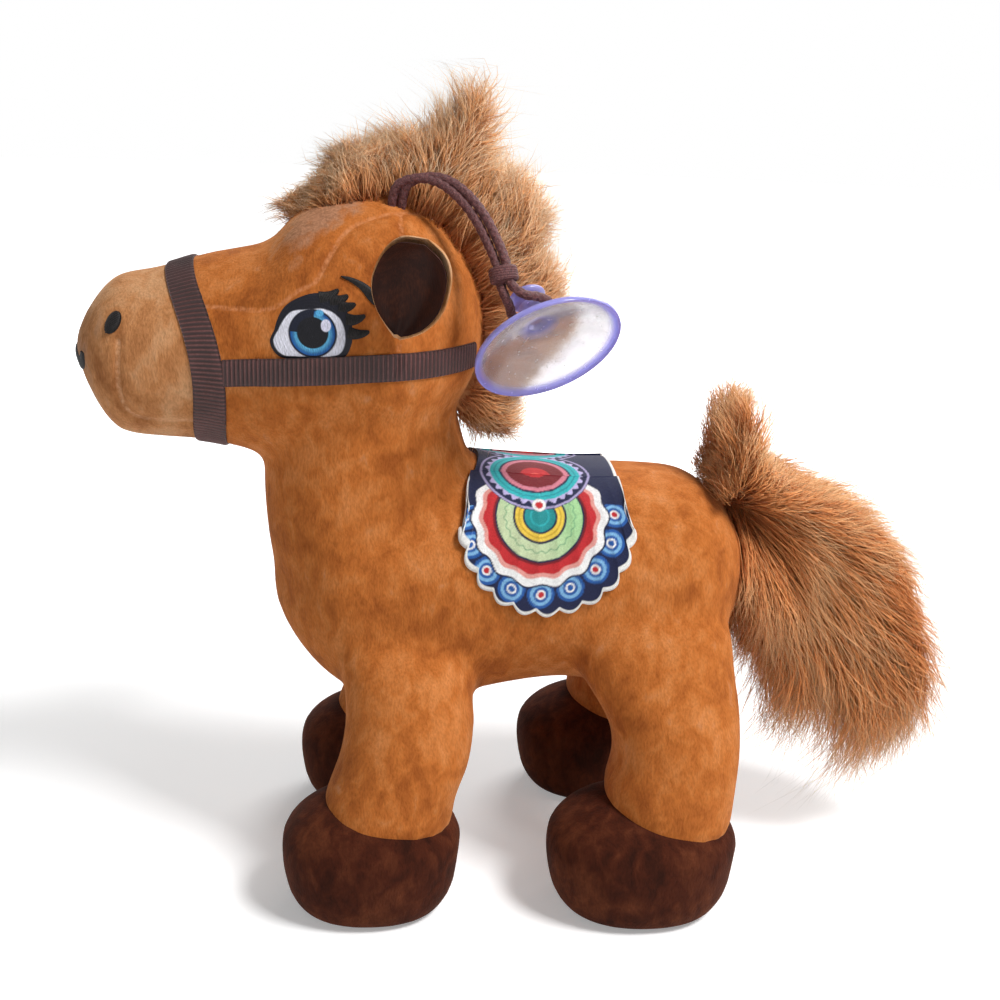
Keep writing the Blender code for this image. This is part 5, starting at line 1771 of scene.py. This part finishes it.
    def core(
        self, name: str, edges: tuple[Array, Array, Array], full: float, lean: float
    ) -> Piece:
        """The soft middle: ovals between two edges, drawn in by a share and closed at the ends.

        Args:
            name: the piece's name.
            edges: the inner edge, the outer edge and the half thickness along the fur.
            full: the ovals' share of the distance between the edges.
            lean: where their middles lie between the edges.

        Returns:
            The piece.
        """
        inner, outer, half = edges
        turn = turns(self.core_sides)[None, :, None]
        middle = (inner + (outer - inner) * lean)[:, None]
        reach = (outer - inner)[:, None] / 2 * full
        aside = np.array((0.0, 1.0, 0.0)) * half[:, None, None] * full
        grid = middle + reach * np.cos(turn) + aside * np.sin(turn)
        lumps = value_noise(grid, 4.0, 11)[..., None] + 0.5 * value_noise(grid, 1.5, 12)[..., None]
        grid = grid + (grid - middle) * 0.12 * lumps
        grid = closed_ends(grid)
        shade = np.zeros((*grid.shape[:2], 4))
        shade[..., 0] = np.clip(0.25 + 0.3 * value_noise(grid, 0.9, 13), 0, 1)
        shade[..., 1:3] = 0.45
        return new_piece(name, grid * MM, grid_faces(*grid.shape[:2], True), shade)

    def lock(
        self, name: str, fan: Fan, fibres: Fibres, seed: int, low: float, high: float, count: int
    ) -> list[Piece]:
        """Fibres between two angles of a fan, in pieces of a size that a library takes.

        Args:
            name: what the pieces' names start with.
            fan: the fan.
            fibres: the kind of fibres.
            seed: the seed of its random numbers.
            low: the lower angle.
            high: the higher angle.
            count: how many fibres.

        Returns:
            The pieces.
        """
        chance = np.random.default_rng(seed)
        roots, heads, bends = fan.fibres(chance, low, high, count)
        order = np.argsort(roots[:, 0] + roots[:, 2])
        return [
            fibres.grow(f"{name}_fur_{k + 1}", chance, roots[part], heads[part], bends[part])
            for k, part in enumerate(np.array_split(order, (count - 1) // self.most_fibres + 1))
        ]

    def tail_ball(self) -> Piece:
        """The sewn stub in which the tail is rooted: a ball whose skin is a little uneven.

        Returns:
            The piece.
        """
        polar, turn = np.linspace(0, pi, 40)[:, None], turns(56)[None, :]
        across = np.sin(polar)
        way = np.broadcast_arrays(across * np.cos(turn), across * np.sin(turn), np.cos(polar))
        way = np.stack(way, -1)
        radius = self.root_radius * (1 + 0.04 * value_noise(way, 0.4, 5))[..., None]
        radius[[0, -1]] = self.root_radius
        grid = (np.array(self.tail_root) + way * radius) * MM
        piece = new_piece("tail_stub", grid, grid_faces(*grid.shape[:2], True)[:, ::-1])
        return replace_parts(piece, "tail_root")

    def build(self, plush: PlushFinish) -> list[Piece]:
        """Grow the fur and dress it.

        Args:
            plush: the finish of the stub.

        Returns:
            The pieces.
        """
        fewer = 1
        before, behind = self.parting - self.parting_gap, self.parting + self.parting_gap
        fan, kind, meet = self.mane_fan, self.mane_fibres, self.parting_angle
        mane = [self.core("mane_core", self.mane_edges(np.linspace(behind, 1.0, 60)), 0.55, 0.3)]
        mane += self.lock("mane", fan, kind, 21, -46, meet, 28000 // fewer)
        forelock = [self.core("forelock_core", self.mane_edges(np.linspace(0.07, before, 30)), 0.5, 0.22)]
        forelock += self.lock("forelock", fan, kind, 22, meet, 126, 6000 // fewer)
        tail = [self.core("tail_core", self.tail_edges(np.linspace(0.08, 0.72, 70)), 0.46, 0.5)]
        tail += self.lock("tail", self.tail_fan, self.tail_fibres, 31, -92, 160, 34000 // fewer)
        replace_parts(mane[0], "mane")
        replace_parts(forelock[0], "forelock")
        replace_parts(tail[0], "tail")
        self.mane_finish.dye().dress(*mane, *forelock)
        self.tail_finish.dye().dress(*tail)
        stub = self.tail_ball()
        plush.dye().dress(stub)
        place_on("horse", "fur", *mane, *forelock)
        place_on("tail", "fur", *tail)
        place_on("tail_root", "plush", stub)
        return [*mane, *forelock, *tail, stub]


# ---- Saddle cloth


@dataclass
class Saddle:
    """A felt saddle cloth over the back: a middle and two printed flaps, in millimetres.

    Its print is a traditional ornament of concentric scallops round a half disc below a full one.
    """

    centre: tuple[float, float] = (-0.4, 87.8)
    radius: float = 18.2
    scallop: float = 1.4
    scallops: int = 11
    top_half: float = 17.2
    hinge: float = 10.0
    hinge_height: float = 97.157
    thickness: float = 1.0
    gap: float = 0.12
    print_place: tuple[float, float] = (-2.0, 88.4)
    neck_room: float = 1.2
    hinge_unrolled: float = 14.2

    def height_at(self, torso: StuffedForm, x: Array, y: Array) -> Array:
        """How high the torso's upper side reaches."""
        return torso.ridge((x - torso.start) / torso.length, y)[0]

    def side_at(self, torso: StuffedForm, x: Array, z: Array) -> Array:
        """How far out from the middle plane the torso reaches."""
        return torso.flank((x - torso.start) / torso.length, z)

    def clear_of_neck(self, neck: StuffedForm, x: Array, y: Array, z: Array, u: Array) -> Array:
        """Places across with the front edge moved back off the neck, and the rest moved to suit.

        Args:
            neck: the neck's form.
            x: places along the horse.
            y: places across it.
            z: heights.
            u: places from the front edge to the back edge, -1 to 1.

        Returns:
            The moved places along the horse.
        """
        back, share = neck.ridge(np.clip((z - neck.start) / neck.length, 0, 1), y)
        back = back + self.neck_room
        short = np.clip(back[:, :1] - x[:, :1], 0, None) * (share[:, :1] > 0)
        spread = np.exp(-np.linspace(-2.5, 2.5, len(short) // 3 * 2 + 1) ** 2)
        long = np.pad(short[:, 0], len(spread) // 2, mode="edge")
        short = np.convolve(long, spread / spread.sum(), mode="valid")[:, None]
        return x + short * ((1 - u) / 2) ** 2

    def rim(self, angle: Array) -> Array:
        """How far the scalloped edge lies from the centre, below it."""
        return self.radius + self.scallop * np.abs(np.sin(self.scallops * (angle - pi)))

    def flap(self, covers: Covers, side: Side) -> Piece:
        """A flap: columns that run from the hinge to the scalloped edge, laid on the body's side.

        Args:
            covers: the covers that it lies on.
            side: the side of the horse.

        Returns:
            The piece.
        """
        rows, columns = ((142, 182))
        v = np.linspace(0, 1, rows)[:, None]
        u = np.linspace(-1, 1, columns)[None, :]
        angle = pi * 1.5 + pi / 2 * u
        reach = self.rim(angle)
        foot_x, foot_z = reach * np.cos(angle) + self.centre[0], reach * np.sin(angle) + self.centre[1]
        head_x = self.centre[0] + self.top_half * u
        x = head_x + (foot_x - head_x) * v
        head_z = self.height_at(covers.torso, head_x, np.full_like(head_x, self.hinge + 0.15))
        z = head_z + (foot_z - head_z) * v
        x = self.clear_of_neck(covers.neck, x, self.side_at(covers.torso, x, z), z, u)
        y = self.side_at(covers.torso, x, z) * side.value
        grid = laid(np.stack([x, y, z], -1) * MM, covers.whole, Onto.NEAREST)
        out = self.eased(np.maximum(self.eased(np.abs(grid[..., 1])), np.abs(grid[..., 1])))
        grid = np.stack([x * MM, out * side.value, z * MM], -1)
        run = run_along(grid) / MM
        level = np.argmin(np.abs(z - self.print_place[1]), axis=0)
        high = np.take_along_axis(run, level[None], axis=0)
        unrolled = (high - run) + (np.take_along_axis(z, level[None], axis=0) - self.print_place[1])
        edge = reach - np.hypot(x - self.centre[0], z - self.centre[1])
        edge = np.where(z > self.centre[1], np.maximum(edge, self.side_room(x, z)), edge)
        normals = self.smoothed(grid_normals(grid))
        normals *= np.sign((normals[..., 1] * side.value).mean())
        normals = unit(normals * (0.25, 1.0, 1.0))
        wave = 0.35 * np.sin(pi * self.scallops * (u + 1) / 2 * 0.5 + 0.7) * v**3 + 0.25 * v**2
        under = grid + normals * ((self.gap + wave) * MM)[..., None]
        piece = self.felt(f"saddle_flap_cloth_{side.hand}", under, normals, x, unrolled, edge)
        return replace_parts(piece, f"saddle_flap_{side.hand}")

    def felt(
        self, name: str, under: Array, normals: Array, x: Array, unrolled: Array, edge: Array
    ) -> Piece:
        """One printed piece of felt with a rounded edge.

        Args:
            name: the piece's name.
            under: the grid of its lower face.
            normals: the way up at each point.
            x: each point's place along the horse.
            unrolled: each point's place up the unrolled cloth.
            edge: how far each point lies inside the cloth's edge.

        Returns:
            The piece.
        """
        dye = self.colours(x - self.print_place[0], unrolled, np.clip(edge, 0, 9))
        rounded = np.sqrt(np.clip(1 - (1 - np.clip(edge / 0.5, 0, 1)) ** 2, 0.16, 1))
        return thick_sheet(name, under, normals, self.thickness * MM * rounded, dye=dye)

    def side_room(self, x: Array, z: Array) -> Array:
        """How far a point above the centre lies inside the cloth's nearly upright sides."""
        share = np.clip((z - self.centre[1]) / (self.hinge_height - self.centre[1]), 0, 1)
        half = self.radius + (self.top_half - self.radius) * share
        return half - np.abs(x - self.centre[0])

    def eased(self, values: Array) -> Array:
        """Values of a grid averaged with their neighbours many times, but for the first row.

        Args:
            values: the grid of values.

        Returns:
            The averaged values.
        """
        for _ in range(240):
            wide = np.pad(values, 1, mode="edge")
            mean = (wide[:-2, 1:-1] + wide[2:, 1:-1] + wide[1:-1, :-2] + wide[1:-1, 2:]) / 4
            mean[0] = values[0]
            values = mean
        return values

    def smoothed(self, normals: Array) -> Array:
        """Normals averaged with their neighbours twenty times, so that the cloth bridges dips.

        Args:
            normals: the grid of normals, which it changes.

        Returns:
            The same grid.
        """
        for _ in range(20):
            inner = normals[:-2, 1:-1] + normals[2:, 1:-1] + normals[1:-1, :-2] + normals[1:-1, 2:]
            normals[1:-1, 1:-1] = unit(inner)
            normals[0], normals[-1] = normals[1], normals[-2]
            normals[:, 0], normals[:, -1] = normals[:, 1], normals[:, -2]
        return normals

    def middle(self, covers: Covers) -> Piece:
        """The middle of the cloth, which lies across the back from one flap to the other.

        Args:
            covers: the covers that it lies on.

        Returns:
            The piece.
        """
        rows, columns = 92, 130
        x = np.linspace(-self.top_half, self.top_half, columns)[None, :] + self.centre[0]
        y = np.linspace(-self.hinge + self.gap, self.hinge - self.gap, rows)[:, None]
        x, y = np.broadcast_arrays(x, y)
        z = self.height_at(covers.torso, x, y)
        x = self.clear_of_neck(covers.neck, x, y, z, np.linspace(-1, 1, columns)[None, :])
        z = self.height_at(covers.torso, x, y)
        grid = laid(np.stack([x, y, z], -1) * MM, covers.whole, Onto.NEAREST)
        run = run_along(grid) / MM
        off = np.minimum(run, run[-1:] - run)
        normals = self.smoothed(grid_normals(grid))
        normals *= np.sign(normals[..., 2].mean())
        edge = self.top_half - np.abs(x - self.centre[0])
        under = grid + normals * self.gap * MM
        piece = self.felt("saddle_middle_cloth", under, normals, x, self.hinge_unrolled + off, edge)
        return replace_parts(piece, "saddle_cloth")

    def colours(self, x: Array, y: Array, edge: Array) -> Array:
        """Colours of the print on the unrolled cloth, laid over one another as a screen printer does.

        Bands are rings round the middle of the print whose edges wave as a cosine of the angle;
        lobes are discs in a ring; every band has a dark outline.

        Args:
            x: place across, from the middle of the print.
            y: place up the unrolled cloth.
            edge: how far inside the cloth's edge.

        Returns:
            Colours with four channels.
        """
        r = np.hypot(x, y)
        angle = np.arctan2(y, x)
        colour = np.ones(x.shape + (4,))
        colour[..., :3] = (0.82, 0.80, 0.76)
        soft = 0.10

        def paint(signed: Array, rgb: Any, share: float = 1.0) -> None:
            """Lay a colour where a distance is below zero, with a soft edge."""
            mask = (1 - smooth_step(-soft, soft, signed)) * share
            colour[..., :3] += (np.asarray(rgb) - colour[..., :3]) * mask[..., None]

        navy, maroon, red = (0.012, 0.016, 0.055), (0.17, 0.012, 0.018), (0.52, 0.025, 0.03)
        teal, yellow, green = (0.02, 0.26, 0.27), (0.80, 0.56, 0.07), (0.36, 0.62, 0.30)
        white, blue, sky = (0.86, 0.85, 0.84), (0.02, 0.10, 0.36), (0.22, 0.46, 0.72)
        turquoise, lilac, cream = (0.03, 0.42, 0.45), (0.50, 0.44, 0.72), (0.82, 0.66, 0.52)
        paint(0.9 - edge, navy)
        lobe = np.round((angle + pi / 2) / 0.40) * 0.40 - pi / 2
        lobe_r = np.hypot(x - 16.4 * np.cos(lobe), y - 16.4 * np.sin(lobe))
        below = np.where(y < 3.0, 0.0, 9.0)
        paint(lobe_r - 3.0 + below, blue)
        paint(np.abs(lobe_r - 2.0) - 0.35 + below, sky)
        paint(lobe_r - 1.05 + below, white)
        paint(lobe_r - 0.65 + below, np.where((np.round(lobe / 0.40) % 2 == 0)[..., None], red, blue))
        wave = np.cos(14 * angle)
        paint(r - 15.0 - 0.45 * wave, navy)
        paint(r - 14.6 - 0.45 * wave, white)
        paint(r - 13.0 - 0.35 * wave, (0.74, 0.32, 0.28))
        paint(r - 12.1 - 0.30 * wave, red)
        paint(r - 10.3, maroon)
        paint(r - 9.8, navy)
        glow = smooth_step(-0.6, 0.9, np.cos(angle - 1.25 * pi))[..., None]
        paint(r - 9.4, np.array(green) * (1 - 0.4 * glow) + np.array(cream) * 0.4 * glow)
        paint(np.abs(r - 7.6 - 0.25 * np.cos(22 * angle)) - 0.14, (0.10, 0.30, 0.16), 0.7)
        paint(r - 5.9, navy)
        paint(r - 5.4, yellow)
        paint(np.abs(r - 4.6) - 0.16, (0.50, 0.28, 0.02), 0.7)
        paint(r - 3.8, navy)
        paint(r - 3.4, teal)
        paint(np.abs(r - 2.0) - 0.2, turquoise, 0.8)
        shelf = 1.0 + 0.5 * np.cos(1.9 * x)
        above = np.hypot(x, y - 14.0)
        paint(np.maximum(-(y - shelf), above - 12.6), navy)
        paint(np.maximum(-(y - shelf - 0.5), np.abs(above - 12.2) - 0.25), lilac, 0.8)
        fringe = 0.45 * np.cos(30 * np.arctan2(y - 14.0, x))
        paint(above - 10.9 - fringe, lilac)
        paint(above - 10.2, turquoise)
        paint(np.abs(above - 9.2) - 0.16, (0.01, 0.20, 0.24), 0.8)
        paint(above - 8.2, navy)
        paint(above - 7.7, (0.60, 0.20, 0.26))
        paint(above - 6.6, maroon)
        paint(above - 3.4, red)
        paint(above - 1.3, (0.70, 0.10, 0.08))
        drop = np.hypot(x, y - 2.7)
        paint(drop - 1.5, white)
        paint(drop - 0.85, red)
        paint(edge - 0.9, (0.80, 0.79, 0.76))
        speck = value_noise(np.stack([x, y, 0 * x], -1), 0.35, 9)[..., None]
        colour[..., :3] *= 1 + 0.07 * speck
        return np.clip(colour, 0, 1)

    def dye(self) -> Dye:
        """Printed felt: matted fibres over the print.

        Returns:
            The material.
        """
        made = Dye("printed_felt", Roughness=0.88, Sheen_Weight=0.25, Sheen_Roughness=0.5)
        matted = made.noise(0.30 * MM, 4, warp=1.2)
        tone = made.ramp(matted, (0.3, 0.80), (0.65, 1.08))
        made.give(Base_Color=made.mix(1.0, made.drawn(), tone, "MULTIPLY"), Specular_IOR_Level=0.2)
        made.bump(matted, 0.18 * MM, 0.7)
        return made

    def build(self, covers: Covers) -> list[Piece]:
        """Lay the cloth over the back and dress it.

        Args:
            covers: the covers that it lies on.

        Returns:
            The pieces.
        """
        flaps = [self.flap(covers, side) for side in Side]
        middle = self.middle(covers)
        self.dye().dress(middle, *flaps)
        place_on("horse", "felt", middle)
        for side, piece in zip(Side, flaps):
            place_on(f"saddle_flap_{side.hand}", "felt", piece)
        return [middle, *flaps]


# ---- Hanger


@dataclass
class Hanger:
    """A doubled braided cord from the crown, whipped together, that loops round a suction cup's neck.

    Sizes are in millimetres; the route repeats that of the part's cord.
    """

    cup_centre: Triple = (-3.0, -29.0, 127.0)
    axis: Triple = (-0.272, 0.690, 0.671)
    cup_radius: float = 15.6
    cup_sides: int = 96
    lip: float = 0.9
    dome: float = 8.6
    hollow: float = 5.2
    flare: float = 1.15
    wall: float = 1.6
    neck: tuple[float, float] = (2.5, 3.2)
    knob: tuple[float, float] = (4.0, 3.2)
    diameter: float = 1.9
    loop_radius: float = 3.8
    pitch: float = 2.05
    crown: Triple = (-33.5, -9.2, 152.2)
    route: Rows = (
        (-32.4, -10.7, 157.3), (-28.8, -11.8, 159.2), (-24.2, -13.4, 158.8), (-20.0, -15.4, 156.0),
        (-16.6, -17.8, 151.9), (-14.0, -20.6, 147.0), (-12.5, -23.2, 143.2), (-11.8, -24.9, 139.6),
    )
    turns: Rows = ((3.0, 3.3, 0.0), (5.4, 2.1, 0.2), (7.4, 1.4, 1.3))
    binding: tuple[float, float] = (3.0, 3.6)
    ridge: float = 0.14
    ridges: int = 7
    strands: int = 4
    lay: float = 3.4

    def directions(self) -> tuple[Array, Array, Array, Array]:
        """The cup's axis, the way the cord leaves its neck, the way across, and the neck's middle."""
        axis = unit(np.array(self.axis))
        neck = np.array(self.cup_centre) + axis * (self.dome + self.neck[1] / 2)
        towards = np.array(self.route[-1]) - neck
        leave = unit(towards - axis * (towards @ axis))
        return axis, leave, np.cross(axis, leave), neck

    def path(self, count: int) -> Array:
        """Even points along the cord: down one strand, round the neck and back up the other.

        Args:
            count: how many points.

        Returns:
            The points in millimetres.
        """
        axis, leave, across, neck = self.directions()
        route = np.array((self.crown, *self.route))
        twist = np.linspace(0, 1, len(route))[:, None]
        spread = unit(np.array((1.0, 0.0, 0.0)) * (1 - twist) + across * twist)
        turns = np.array(self.turns)[::-1]
        strands = []
        for hand in (1, -1):
            down = route + spread * self.pitch / 2 * hand
            near = neck + leave * turns[:, :1] + across * turns[:, 1:2] * hand + axis * turns[:, 2:]
            strands.append(np.concatenate([down, near]))
        angle = np.linspace(0, pi, 7)[:, None]
        arc = neck + (across * np.cos(angle) - leave * np.sin(angle)) * self.loop_radius
        whole = np.concatenate([strands[0], arc, strands[1][::-1]])
        run = run_along(whole)
        return smooth_rows(np.column_stack([run, whole]), np.linspace(0, run[-1], count))

    def tube(self, name: str, path: Array, radius: Array, sides: int) -> Piece:
        """A closed tube along a path; its rings stand square to it, the sides turned from Y.

        Args:
            name: the piece's name.
            path: the middle line, in millimetres.
            radius: the radius for each ring and side.
            sides: how many points a ring has.

        Returns:
            The piece.
        """
        ahead = unit(np.gradient(path, axis=0))
        aside = unit(np.array((0.0, 1.0, 0.0)) - ahead * ahead[:, 1:2])
        above = np.cross(ahead, aside)
        grid = path[:, None] + spokes(aside, above, turns(sides)) * radius[..., None]
        grid = closed_ends(grid, path) * MM
        rows = grid.shape[0]
        uv = np.stack(np.meshgrid(np.arange(rows) / rows, np.arange(sides) / sides, indexing="ij"), -1)
        faces = grid_faces(rows, sides, True)[:, ::-1]
        return new_piece(name, grid, faces, uv=uv)

    def cord(self) -> tuple[Piece, Array]:
        """The braided cord: its radius is crossed by two sets of spiral strands.

        Returns:
            The piece and the line along its middle.
        """
        count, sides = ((1000, 24))
        path = self.path(count)
        run = run_along(path)[:, None]
        turn = turns(sides)[None, :]
        braid = np.maximum(*(np.cos(self.strands * turn + way * run * self.lay) for way in (1, -1)))
        radius = self.diameter / 2 * (0.96 + 0.10 * braid)
        return self.tube("hanging_braid", path, radius, sides), path

    def whipping(self) -> Piece:
        """The binding: thread wound round both strands, a row of rounded ridges that ends flat.

        Returns:
            The piece.
        """
        radius, length = self.binding
        start, end = np.array(self.route[-1]), np.array(self.route[-2])
        along = unit(end - start)
        place = np.linspace(0, 1, 150)
        path = start + np.outer(place * length, along)
        sides = 48
        turn = turns(sides)[None, :]
        ridge = self.ridge * np.abs(np.cos(pi * place[:, None] * self.ridges + turn / 2))
        closed = np.sqrt(np.clip(1 - (2 * place[:, None] - 1) ** 8, 0.2, 1))
        oval = 1 - 0.26 * np.cos(turn) ** 2
        radii = (radius - self.ridge + ridge) * closed * oval
        return self.tube("cord_whipping", path, radii, sides)

    def cup(self) -> Piece:
        """The suction cup: a profile from the middle of its hollow out, over its rim and up its knob.

        Returns:
            The piece.
        """
        quarter = np.linspace(0, pi / 2, 40)
        inner = self.cup_radius - self.wall / 2
        hollow = np.stack([inner * np.sin(quarter), self.hollow * np.cos(quarter) ** 2], 1)
        neck, height = self.neck
        rim = self.cup_radius
        lips = ((0, inner, 0.0), (0.3, rim - 0.1, -0.15), (0.6, rim, 0.35), (1.0, rim - 0.15, self.lip))
        lips = smooth_rows(lips, np.linspace(0.1, 0.95, 12))
        share = np.linspace(0.985, 0, 50)
        dome = np.stack(
            [
                neck + (self.cup_radius - neck) * share,
                self.lip + (self.dome - self.lip) * (1 - share) ** self.flare,
            ],
            1,
        )
        top = self.dome + height
        rise = np.linspace(0, 1, 10)[1:-1]
        shank = np.stack([neck * (1 - 0.10 * np.sin(pi * rise)), self.dome + height * rise], 1)
        ball = np.linspace(0.45, pi, 26)
        knob = np.stack([self.knob[0] * np.sin(ball), top + self.knob[1] / 2 * (1 - np.cos(ball))], 1)
        profile = np.concatenate([hollow, lips, dome, shank, knob])
        axis = unit(np.array(self.axis))
        aside = unit(np.cross(axis, (0.0, 0.0, 1.0)))
        above = np.cross(axis, aside)
        ring = spokes(aside, above, turns(self.cup_sides))
        grid = np.array(self.cup_centre) + axis * profile[:, None, 1:] + ring * profile[:, None, :1]
        # The dye holds where the lilac deepens and the plastic is less clear: at the thick neck, shank and
        # knob, and round the rim, where light seen edge-on through the wall is painted.
        thickness_and_painted_rim = np.concatenate([smooth_step(0.87, 1.0, hollow[:, 0] / inner), np.ones(len(lips))])
        back = 0.1 + 0.9 * smooth_step(0.90, 0.985, dome[:, 0] / self.cup_radius)
        thickness_and_painted_rim = np.concatenate([thickness_and_painted_rim, np.maximum(back, 1 - smooth_step(2.5, 6, dome[:, 0]))])
        thickness_and_painted_rim = np.append(thickness_and_painted_rim, np.full(len(profile) - len(thickness_and_painted_rim), 0.8))
        dye = np.repeat(thickness_and_painted_rim[:, None], self.cup_sides, axis=1)[..., None] * np.ones(4)
        piece = new_piece("suction_cup_body", grid * MM, grid_faces(*grid.shape[:2], True), dye)
        shell = bmesh.new()
        shell.from_mesh(piece.data)
        bmesh.ops.remove_doubles(shell, verts=shell.verts, dist=1e-7)
        bmesh.ops.recalc_face_normals(shell, faces=shell.faces)
        shell.to_mesh(piece.data)
        shell.free()
        piece.data.shade_smooth()
        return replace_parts(piece, "suction_cup")

    def plastic(self) -> Dye:
        """Clear soft plastic with a lilac tint, a little cloudy and scuffed.

        Returns:
            The material.
        """
        made = Dye("clear_lilac_plastic", IOR=1.45)
        cloud = made.noise(5 * MM, 2)
        # Deeper lilac and less clear where the plastic is thick, and round the rim as painted light seen
        # edge-on through the wall.
        thickness_and_painted_rim = made.node("Attribute", attribute_name="dye").outputs["Fac"]
        clear = made.ramp(cloud, (0.35, (0.72, 0.69, 0.70)), (0.65, (0.82, 0.79, 0.78)))
        made.give(Base_Color=made.mix(thickness_and_painted_rim, clear, (0.38, 0.36, 0.92)))
        made.give(Transmission_Weight=made.node("MapRange", {0: thickness_and_painted_rim, 3: 0.86, 4: 0.40}))
        made.give(Roughness=made.ramp(made.noise(1.2 * MM, 3), (0.4, 0.12), (0.7, 0.28)))
        made.bump(cloud, 0.2 * MM, 0.2)
        return made

    def braid(self) -> Dye:
        """Dark red-brown braid with fine threads.

        Returns:
            The material.
        """
        made = Dye("braided_thread", Roughness=0.62, Sheen_Weight=0.1, Sheen_Roughness=0.4)
        thread = made.noise(0.28 * MM, 3, warp=0.5)
        dark, middle, light = (0.030, 0.006, 0.007), (0.085, 0.020, 0.021), (0.24, 0.085, 0.078)
        made.give(Base_Color=made.ramp(thread, (0.3, dark), (0.5, middle), (0.75, light)))
        made.bump(thread, 0.15 * MM, 0.7)
        return made

    def build(self) -> list[Piece]:
        """Make the hanger and dress it.

        Returns:
            The pieces.
        """
        cup, binding = self.cup(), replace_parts(self.whipping(), "cord_binding")
        cord, path = self.cord()
        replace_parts(cord, "hanging_cord")
        self.plastic().dress(cup)
        self.braid().dress(cord, binding)
        place_on("suction_cup", "cup_plastic", cup)
        place_on("hanger", "cord", binding, cord)
        return [cup, binding, cord]


# ---- Studio


@dataclass
class Studio:
    """A pale floor, soft lamps and the camera at the photograph's angle."""

    azimuth: float = radians(-6.5)
    elevation: float = radians(16)
    roll: float = radians(2)
    target: Triple = (-0.0085, 0.0, 0.087)
    distance: float = 0.310
    lens: float = 48.5

    def camera(self) -> None:
        """Look at the horse's left side from a little above, with the photograph's slight roll."""
        a, e = self.azimuth, self.elevation
        back = np.array((sin(a) * cos(e), -cos(a) * cos(e), sin(e)))
        level = np.array((cos(a), sin(a), 0.0))
        up = np.cross(level, -back)
        right = cos(self.roll) * level + sin(self.roll) * up
        above = -sin(self.roll) * level + cos(self.roll) * up
        place = np.array(self.target) + back * self.distance
        data = bpy.data.cameras.new("photograph")
        data.lens, data.sensor_width, data.clip_start = self.lens, 36.0, 0.01
        camera = bpy.data.objects.new("photograph", data)
        rows = np.column_stack([right, above, back, place])
        camera.matrix_world = Matrix([*rows.tolist(), [0, 0, 0, 1]])
        bpy.context.scene.collection.objects.link(camera)
        bpy.context.scene.camera = camera

    def lamp(self, name: str, place: Triple, size: float, power: float) -> None:
        """A square soft lamp that faces the horse.

        Args:
            name: its name.
            place: where it stands, in metres.
            size: its side.
            power: its power in watts.
        """
        data = bpy.data.lights.new(name, "AREA")
        data.size, data.energy = size, power
        lamp = bpy.data.objects.new(name, data)
        way = Vector(self.target) - Vector(place)
        lamp.matrix_world = Matrix.Translation(place) @ way.to_track_quat("-Z", "Y").to_matrix().to_4x4()
        bpy.context.scene.collection.objects.link(lamp)

    def floor(self) -> Piece:
        """A wide pale disc; to the camera and in reflections it is a little brighter than it is lit.

        Returns:
            The piece.
        """
        turn = turns(96)
        rings = np.array((0.0, 0.2, 0.5, 1.0, 2.0, 4.0))[:, None]
        grid = np.stack(np.broadcast_arrays(rings * np.cos(turn), rings * np.sin(turn), 0.0), -1)
        floor = new_piece("floor", grid, grid_faces(*grid.shape[:2], True))
        made = Dye("pale_floor", Roughness=0.9, Emission_Color=(1, 1, 1, 1))
        made.give(Base_Color=made.ramp(made.noise(0.4, 2), (0.3, 0.86), (0.7, 0.90)))
        run = made.node("VectorMath", {0: made.place()}, operation="LENGTH").outputs["Value"]
        glow = made.node("MapRange", {0: run, 1: 0.10, 2: 0.75, 3: 0.30, 4: 1.0})
        made.give(Emission_Strength=made.maths("MULTIPLY", made.seen(), glow))
        made.dress(floor)
        return floor

    def world(self) -> None:
        """Even pale light from all round, white where it is seen."""
        world = bpy.data.worlds.new("studio")
        world.use_nodes = True
        bpy.context.scene.world = world
        nodes = Nodes(world.node_tree)
        sky = nodes.tree.nodes["Background"].inputs
        nodes.feed(sky["Color"], (1, 1, 1, 1))
        nodes.feed(sky["Strength"], nodes.node("MapRange", {0: nodes.seen(), 3: 0.16, 4: 1.0}))

    def build(self) -> None:
        """Set up the studio."""
        self.camera()
        self.floor()
        self.world()
        self.lamp("key", (0.52, -0.46, 0.98), 0.30, 13.2)
        self.lamp("fill", (-0.75, -0.60, 0.40), 0.6, 0.35)
        self.lamp("back", (0.45, 0.75, 0.75), 0.6, 7.0)
        bpy.context.scene.view_settings.view_transform = "Standard"


def report(title: str, pieces: Sequence[Piece]) -> None:
    """Log each piece of a sub-assembly."""
    for piece in pieces:
        LOG.info("%s: %s, %d faces", title, piece.name, len(piece.data.polygons))


def main() -> None:
    """Build the studio and then the horse, from its covers out."""
    logging.basicConfig(level=logging.INFO, format="%(message)s")
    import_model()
    Studio().build()
    report("hanger", Hanger().build())
    covers = Covers()
    report("covers", covers.build())
    report("halter", Halter().build(covers))
    report("face", Face().build(covers))
    for side in Side:
        report("ear", Ear(side).build())
    report("hair", Hair().build(covers.body_finish))
    saddle = Saddle()
    cloths = saddle.build(covers)
    report("saddle", cloths)
    covers.dress()


if __name__ == "__main__":
    main()
